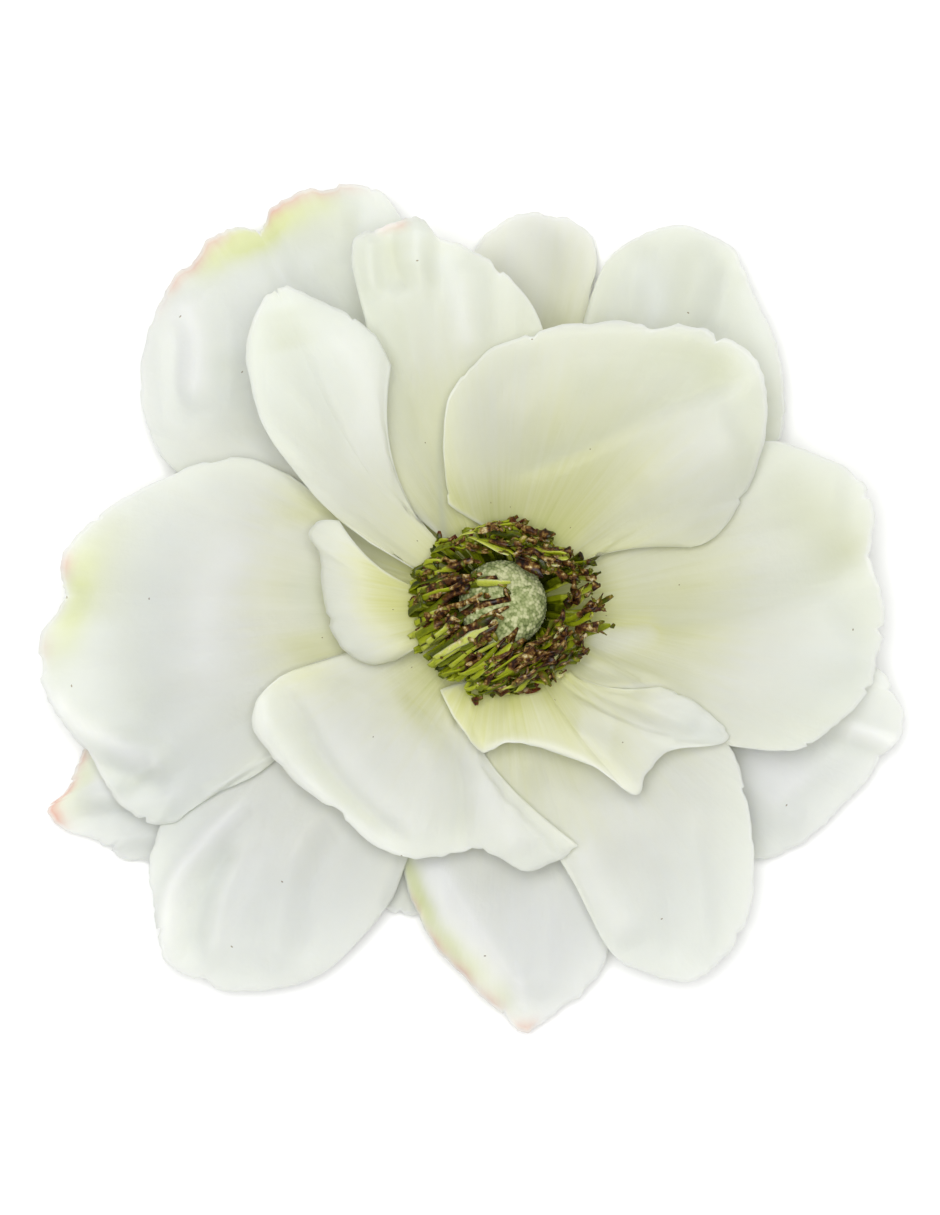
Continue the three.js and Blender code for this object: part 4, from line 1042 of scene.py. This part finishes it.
def add_stamens(heap, material):
    """The ring of stamens as one mesh: the torn straps, their scraps and the collar they spring from."""
    random = np.random.default_rng(SEED)
    paths, sideways, torn, whorls = stamen_paths(heap, random)
    parts = [torn_stamens(random, paths, sideways, torn, whorls)]
    parts.append(anther_scraps(random, paths, sideways, whorls))
    collar, (collar_quads,) = turned(COLLAR, columns=72, ring=True)
    parts.append((collar, collar_quads, {tint: np.zeros(len(collar)) for tint in parts[0][2]}))
    points, quads, tints = zip(*parts)
    before = np.cumsum([0] + [len(own) for own in points])
    quads = np.concatenate([own + first for own, first in zip(quads, before)])
    tints = {tint: np.concatenate([own[tint] for own in tints]) for tint in tints[0]}
    add_mesh("stamen_ring", np.concatenate(points), [quads], material, "stamens", tints)


def turned(profile, columns, relief=None, ring=False):
    """A profile of [radius, height] turned about the axis: the point at angle a is (r cos a, r sin a, h),
    and relief(a, t) is added to r. It runs from a lower to an upper pole by way of the outside, or closes
    on itself as a ring. Returns the points and the arrays of faces."""
    profile = np.asarray(profile, float)
    rows = profile if ring else profile[1:-1]
    t = np.linspace(0, 1, len(rows))[:, None]
    angle = (np.arange(columns) * 2 * math.pi / columns)[None]
    radius = rows[:, :1] + (relief(angle, t) if relief else 0 * angle)
    points = np.stack([radius * np.cos(angle), radius * np.sin(angle), rows[:, 1:] + 0 * radius], -1)
    points = points.reshape(-1, 3)
    number = np.arange(len(points)).reshape(radius.shape)
    beside = np.roll(number, -1, axis=1)
    if ring:
        above, beside_above = np.roll(number, -1, axis=0), np.roll(beside, -1, axis=0)
        return points, [np.stack([number, beside, beside_above, above], -1).reshape(-1, 4)]
    quads = np.stack([number[:-1], beside[:-1], beside[1:], number[1:]], -1).reshape(-1, 4)
    lower, upper = np.full(columns, len(points)), np.full(columns, len(points) + 1)
    points = np.concatenate([points, [[0, 0, profile[0, 1]], [0, 0, profile[-1, 1]]]])
    lower_cap = np.stack([lower, beside[0], number[0]], -1)
    upper_cap = np.stack([upper, number[-1], beside[-1]], -1)
    return points, [quads, np.concatenate([lower_cap, upper_cap])]


PISTIL_LEAN = 0.19          # radians
PISTIL_TOWARDS = [0.5, 0.87]
PISTIL_MIDDLE = 2.6         # over its foot, where its grains point out from
PISTIL_PROFILE = [[0, -1.2], [1.4, -1], [2.1, -0.2], [3.6, 0.7], [4.75, 1.9], [4.95, 3.1], [4.5, 4.2],
                  [3.35, 5.1], [1.8, 5.6], [0, 5.75]]
GRAINS = 1300
GRAIN_RISE = 0.14
GRAIN_REACH = 0.27          # from the middle of a grain to where it meets the dome


def add_pistil(material):
    """A dome of close-set grains: each grain stands proud of it, falling off as the square of the distance
    from its middle. The middles lie on a golden spiral over the sphere, jittered, and the dome leans with
    the sweep."""
    random = np.random.default_rng(SEED + 5)
    points, faces = turned(spline(PISTIL_PROFILE, np.linspace(0, 1, num=121)), columns=240)
    towards = points - [0, 0, PISTIL_MIDDLE]
    distance = np.linalg.norm(towards, axis=1)
    towards /= distance[:, None]
    number = np.arange(GRAINS) + 0.5
    polar, around = np.arccos(1 - 2 * number / GRAINS), math.pi * (1 + math.sqrt(5)) * number
    grains = np.stack([np.sin(polar) * np.cos(around), np.sin(polar) * np.sin(around), np.cos(polar)], -1)
    grains += random.normal(0, 0.013, grains.shape)
    grains /= np.linalg.norm(grains, axis=1, keepdims=True)
    nearness = towards.astype(np.float32) @ grains.astype(np.float32).T
    nearest = nearness.argmax(1)
    gap = np.arccos(np.clip(nearness.max(1), -1, 1)) * distance
    dome = 1 - np.square(gap / GRAIN_REACH)
    rise = GRAIN_RISE * np.clip(dome, -0.6, 1) * random.uniform(0.6, 1.3, GRAINS)[nearest]
    points = points + towards * (rise * eased(points[:, 2], 0, 1.5))[:, None]
    tints = {"tone": random.uniform(0, 1, GRAINS)[nearest], "crown": np.clip(dome, 0, 1)}
    axis = np.array([-PISTIL_TOWARDS[1], PISTIL_TOWARDS[0], 0]) / math.hypot(*PISTIL_TOWARDS)
    along = (points @ axis)[:, None] * axis
    leant = along + (points - along) * math.cos(PISTIL_LEAN) + np.cross(axis, points) * math.sin(PISTIL_LEAN)
    add_mesh("pistil_dome", leant + [0, 0, PISTIL_FOOT], faces, material, "pistil", tints)


RECEPTACLE_PROFILE = [[0, 0.4], [1.5, 0.4], [1.7, 0.6], [1.7, 1.4], [1.8, 2.2], [3.2, 2.6], [4.5, 2.9],
                      [5.25, 3.6], [5.3, 5], [5.3, 7], [5.25, 9], [4.7, 9.5], [3, 9.6], [0, 9.6]]
RIBS = 12
RIB_DEPTH = 0.12


def stem_ribs(angle, t):
    """How far the receptacle stands out at an angle and a share t of its profile. Soft ribs draw it in, by
    depth / 2 * (1 + cos(ribs * angle + 2 t)) * sin(pi t)."""
    return -RIB_DEPTH / 2 * (1 + np.cos(RIBS * angle + 2 * t)) * np.sin(math.pi * t)


def add_receptacle(material):
    """The knob under the petals and the cut stem: a smooth profile turned about the axis, with soft
    ribs."""
    profile = spline(RECEPTACLE_PROFILE, np.linspace(0, 1, num=90))
    points, faces = turned(profile, columns=144, relief=stem_ribs)
    add_mesh("receptacle_knob", points, faces, material, "receptacle")


def linear(colour):
    """An sRGB hex colour as a linear one with its alpha."""
    channels = [int(colour[i:i + 2], 16) / 255 for i in (1, 3, 5)]
    return [c / 12.92 if c <= 0.04045 else ((c + 0.055) / 1.055) ** 2.4 for c in channels] + [1]


def set_inputs(node, inputs):
    """Gives each input of a node its value, or joins it to an output of another node."""
    for name, value in inputs.items():
        if isinstance(value, bpy.types.NodeSocket):
            node.id_data.links.new(value, node.inputs[name])
        else:
            node.inputs[name].default_value = value


def add_node(tree, kind, inputs=None, stops=(), output=0, **settings):
    """Adds a shader node with its settings and links, and returns one of its outputs. Stops are the places
    and colours of a ramp."""
    node = tree.nodes.new("ShaderNode" + kind)
    for name, value in settings.items():
        setattr(node, name, value)
    set_inputs(node, inputs or {})
    if stops:
        elements = node.color_ramp.elements
        while len(elements) < len(stops):
            elements.new(0.5)
        for element, (place, colour) in zip(elements, stops):
            element.position = place
            element.color = linear(colour)
    return node.outputs[output]


def new_skin(name, **constants):
    """A material with only a Principled shader, its constant sockets set. Returns it, its shader and a
    function that adds a node to it."""
    material = bpy.data.materials.new(name)
    material.use_nodes = True
    shader = material.node_tree.nodes["Principled BSDF"]
    set_inputs(shader, {socket.replace("_", " "): value for socket, value in constants.items()})
    return material, shader, partial(add_node, material.node_tree)


# The patterns on the petals, in millimetres: streaks across and along the fine veins, broad patches, crepe,
# and the cells of which some hold a speck
VEIN_SPACING = 0.9
STREAK_LENGTH = 22
PATCH_WIDTH = 7
PATCH_LENGTH = 30
CREPE_WIDTH = 0.7
SPECK_SPACING = 5
RAMP_REACH = 64             # from the axis to the end of the petals' colours, streaks and patches included


def petal_tissue():
    """Thin living tissue with a waxy bloom, which scatters light softly and lets a little through. The
    colour runs from yellow-green at the claw through cream to a cool white, in streaks along the veins."""
    skin, shader, add = new_skin(
        "petal_tissue", Roughness=0.55, IOR=1.4, Specular_IOR_Level=0.35, Subsurface_Weight=0.7,
        Subsurface_Scale=0.002, Subsurface_Radius=(1, 0.98, 0.75), Sheen_Weight=0.06, Sheen_Roughness=0.5)
    veins = add("UVMap", uv_map="veins")
    fine = add("Mapping", {"Vector": veins, "Scale": (MAP_UNIT / VEIN_SPACING, MAP_UNIT / STREAK_LENGTH, 1)})
    streak = add("TexNoise", {"Vector": fine, "Scale": 1, "Detail": 3, "Roughness": 0.6})
    broad = add("Mapping", {"Vector": veins, "Scale": (MAP_UNIT / PATCH_WIDTH, MAP_UNIT / PATCH_LENGTH, 1)})
    patch = add("TexNoise", {"Vector": broad, "Scale": 1, "Detail": 2})
    radius = add("Attribute", attribute_name="radius", output="Fac")
    out = add("Math", {0: streak, 1: 9, 2: radius}, operation="MULTIPLY_ADD")
    out = add("Math", {0: patch, 1: 12, 2: out}, operation="MULTIPLY_ADD")
    out = add("Math", {0: out, 1: 1 / RAMP_REACH}, operation="MULTIPLY")
    colour = add("ValToRGB", {"Fac": out}, stops=[
        (0.26, "#b3b95c"), (0.34, "#c9ca82"), (0.46, "#d8d9ad"), (0.62, "#d9dbc6"), (0.8, "#d6dbcc"),
        (1, "#d4dacc")])
    # Tints over it, each as strong as its values on the petal times a strength: paler bands, painted
    # highlights, and duller, olive ones where those are negative, painted shade; lime and blush in streaks;
    # and a paler line along the edges, a painted highlight
    uneven = add("Math", {0: streak, 1: 0.7, 2: 0.55}, operation="MULTIPLY_ADD")
    for tint, strength, over in (
            ("painted_light_shade", 0.6, "#f1f3e6"), ("painted_light_shade", -0.55, "#bfc3a8"), ("lime", uneven, "#cbd398"),
            ("blush", uneven, "#cb9084"), ("margin", 0.5, "#edf0e8")):
        amount = add("Attribute", attribute_name=tint, output="Fac")
        share = add("Math", {0: amount, 1: strength}, operation="MULTIPLY", use_clamp=True)
        colour = add("Mix", {"Factor": share, 6: colour, 7: linear(over)}, data_type="RGBA", output=2)
    # Specks of pollen and soil, 0.15 to 0.27 mm across: in one cell of the pattern out of six
    distance = add("TexVoronoi", {"Vector": veins, "Scale": MAP_UNIT / SPECK_SPACING, "Randomness": 1},
                   voronoi_dimensions="2D")
    lot = add("SeparateColor", {"Color": distance.node.outputs["Color"]})
    rare = add("Math", {0: lot, 1: 0.83}, operation="GREATER_THAN")
    size = add("Math", {0: lot.node.outputs["Green"], 1: 0.012, 2: 0.015}, operation="MULTIPLY_ADD")
    inside = add("Math", {0: distance, 1: size}, operation="LESS_THAN")
    speck = add("Math", {0: rare, 1: inside}, operation="MULTIPLY")
    speck = add("Math", {0: speck, 1: 0.75}, operation="MULTIPLY")
    colour = add("Mix", {"Factor": speck, 6: colour, 7: linear("#6f6038")}, data_type="RGBA", output=2)
    place = add("TexCoord", output="Object")
    crepe = add("TexNoise", {"Vector": place, "Scale": 1 / (CREPE_WIDTH * MM), "Detail": 2})
    relief = add("Math", {0: streak, 1: 1.4, 2: crepe}, operation="MULTIPLY_ADD")
    bump = add("Bump", {"Height": relief, "Strength": 0.5, "Distance": 0.06 * MM})
    set_inputs(shader, {"Base Color": colour, "Normal": bump})
    return skin


CLOUD_WIDTH = 1.6           # of the patches where filaments turn brown
FLECK_WIDTH = 0.8


def filament_tissue():
    """Flat glossy straps, olive with yellow-green edges and pale ends, whose torn anthers are blotched
    nearly black, chestnut and buff. The outermost ones are ruddy towards their ends."""
    skin, shader, add = new_skin(
        "filament_tissue", Roughness=0.34, IOR=1.45, Specular_IOR_Level=0.25, Subsurface_Weight=0.25,
        Subsurface_Scale=0.0008, Subsurface_Radius=(1, 1, 0.2))
    place = add("TexCoord", output="Object")
    torn, tone, fringe, ruddy = [add("Attribute", attribute_name=tint, output="Fac")
                                 for tint in ("torn", "tone", "fringe", "ruddy")]
    cloud_scale, fleck_scale = 1 / (CLOUD_WIDTH * MM), 1 / (FLECK_WIDTH * MM)
    clouds = add("TexNoise", {"Vector": place, "Scale": cloud_scale, "Detail": 3, "Roughness": 0.6})
    flecks = add("TexNoise", {"Vector": place, "Scale": fleck_scale, "Detail": 4, "Roughness": 0.6})
    lightness = add("Math", {0: flecks, 1: 0.5, 2: tone}, operation="MULTIPLY_ADD")
    lightness = add("Math", {0: fringe, 1: 0.35, 2: lightness}, operation="MULTIPLY_ADD")
    lightness = add("Math", {0: lightness, 1: 0.6}, operation="MULTIPLY")
    green = add("ValToRGB", {"Fac": lightness}, stops=[
        (0.15, "#2b3203"), (0.36, "#5c6505"), (0.6, "#8e9814"), (0.84, "#b2b94c"), (1, "#c7c98e")])
    blotch = add("Math", {0: tone, 1: 0.12, 2: flecks}, operation="MULTIPLY_ADD")
    brown = add("ValToRGB", {"Fac": blotch}, stops=[
        (0.42, "#120702"), (0.5, "#301709"), (0.59, "#563614"), (0.67, "#8e733a"), (0.78, "#cfc498")])
    red = add("Math", {0: ruddy, 1: 0.6}, operation="MULTIPLY")
    brown = add("Mix", {"Factor": red, 6: brown, 7: linear("#4e1208")}, data_type="RGBA", output=2)
    share = add("Math", {0: torn, 1: 0.56, 2: clouds}, operation="MULTIPLY_ADD")
    share = add("Math", {0: tone, 1: 0.22, 2: share}, operation="MULTIPLY_ADD")
    share = add("MapRange", {"Value": share, "From Min": 0.92, "From Max": 1.06})
    colour = add("Mix", {"Factor": share, 6: green, 7: brown}, data_type="RGBA", output=2)
    bump = add("Bump", {"Height": flecks, "Strength": 0.6, "Distance": 0.12 * MM})
    set_inputs(shader, {"Base Color": colour, "Normal": bump})
    return skin


BLOTCH_WIDTH = 2.4          # of lighter and darker grains


def downy_grains():
    """Hundreds of close-set grains under fine grey down, which makes the green look dusty."""
    skin, shader, add = new_skin("downy_grains", Roughness=0.85, IOR=1.4, Specular_IOR_Level=0.15,
                                 Sheen_Weight=0.08, Sheen_Roughness=0.5)
    place = add("TexCoord", output="Object")
    tone, crown = [add("Attribute", attribute_name=tint, output="Fac") for tint in ("tone", "crown")]
    blotch = add("TexNoise", {"Vector": place, "Scale": 1 / (BLOTCH_WIDTH * MM), "Detail": 2})
    lightness = add("Math", {0: tone, 1: 0.5, 2: blotch}, operation="MULTIPLY_ADD")
    lightness = add("Math", {0: crown, 1: 0.25, 2: lightness}, operation="MULTIPLY_ADD")
    lightness = add("Math", {0: lightness, 1: 0.73}, operation="MULTIPLY")
    colour = add("ValToRGB", {"Fac": lightness}, stops=[
        (0.28, "#37431f"), (0.48, "#6b7645"), (0.64, "#919a66"), (0.88, "#c3c598")])
    set_inputs(shader, {"Base Color": colour})
    return skin


FIBRE_WIDTH = 0.6
FIBRE_LENGTH = 5


def stem_tissue():
    """The pale green tissue of receptacle and stem, streaked lengthwise."""
    skin, shader, add = new_skin("stem_tissue", Roughness=0.6, IOR=1.42, Specular_IOR_Level=0.4)
    across, along = 1 / (FIBRE_WIDTH * MM), 1 / (FIBRE_LENGTH * MM)
    place = add("TexCoord", output="Object")
    place = add("Mapping", {"Vector": place, "Scale": (across, across, along)})
    fibre = add("TexNoise", {"Vector": place, "Scale": 1, "Detail": 3})
    colour = add("ValToRGB", {"Fac": fibre}, stops=[(0.3, "#8f9d55"), (0.55, "#b2bc78"), (0.75, "#c8cf98")])
    bump = add("Bump", {"Height": fibre, "Strength": 0.5, "Distance": 0.1 * MM})
    set_inputs(shader, {"Base Color": colour, "Normal": bump})
    return skin


def floor_sheet():
    """A matt white sheet."""
    skin, shader, _ = new_skin("floor_sheet", Roughness=0.9)
    set_inputs(shader, {"Base Color": linear("#ffffff")})
    return skin


# The flower
seat_low, seat_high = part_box("receptacle")
axis_place = np.array([(seat_low.x + seat_high.x) / 2, (seat_low.y + seat_high.y) / 2, 0]) / MM

solid_heap = Heap(cell=0.8, cells=160)
lifts = [solid_lift(petal, solid_heap) for petal in PETALS]
leaf_heap = Heap(cell=0.6, cells=220)
LEAF_LIFT = 0.6             # of the solid blade's lift, since the real one is thinner
petal_skin = petal_tissue()
for order, petal in enumerate(PETALS):
    add_petal(petal, LEAF_LIFT * lifts[order], leaf_heap, petal_skin, SEED + 10 * order)
add_receptacle(stem_tissue())
add_pistil(downy_grains())
add_stamens(leaf_heap, filament_tissue())

# The floor, the light and the camera, in metres
FLOOR_HALF = 2
FLOOR_LEVEL = -0.0002
floor_corners = [(-FLOOR_HALF, -FLOOR_HALF), (FLOOR_HALF, -FLOOR_HALF), (FLOOR_HALF, FLOOR_HALF),
                 (-FLOOR_HALF, FLOOR_HALF)]
floor_mesh = bpy.data.meshes.new("floor")
floor_mesh.from_pydata([(x, y, FLOOR_LEVEL) for x, y in floor_corners], [], [(0, 1, 2, 3)])
floor_mesh.materials.append(floor_sheet())
floor = bpy.data.objects.new("floor", floor_mesh)
bpy.context.scene.collection.objects.link(floor)

world = bpy.data.worlds.new("studio")
bpy.context.scene.world = world
world.use_nodes = True
set_inputs(world.node_tree.nodes["Background"], {"Color": linear("#ffffff"), "Strength": 0.42})

softbox = bpy.data.lights.new("key", "AREA")
softbox.size = 0.5
softbox.energy = 6.9
key = bpy.data.objects.new("key", softbox)
key.location = (-0.05, 0.07, 0.87)
key.rotation_euler = (-key.location).to_track_quat("-Z", "Y").to_euler()
bpy.context.scene.collection.objects.link(key)

CAMERA_HEIGHT = 0.5
PETAL_HEIGHT = 0.008        # of the petals' broad faces
VIEW_HEIGHT = 0.1413        # of what the frame takes in there
VIEW_MIDDLE = (-3.49, 0.06)         # from the flower's axis, in millimetres
camera = bpy.data.cameras.new("camera")
camera.sensor_width = 36
camera.lens = camera.sensor_width * (CAMERA_HEIGHT - PETAL_HEIGHT) / VIEW_HEIGHT
camera.clip_start = 0.01
eye = bpy.data.objects.new("camera", camera)
eye.location = ((axis_place[0] + VIEW_MIDDLE[0]) * MM, (axis_place[1] + VIEW_MIDDLE[1]) * MM, CAMERA_HEIGHT)
bpy.context.scene.collection.objects.link(eye)
bpy.context.scene.camera = eye
bpy.context.scene.view_settings.view_transform = "Standard"
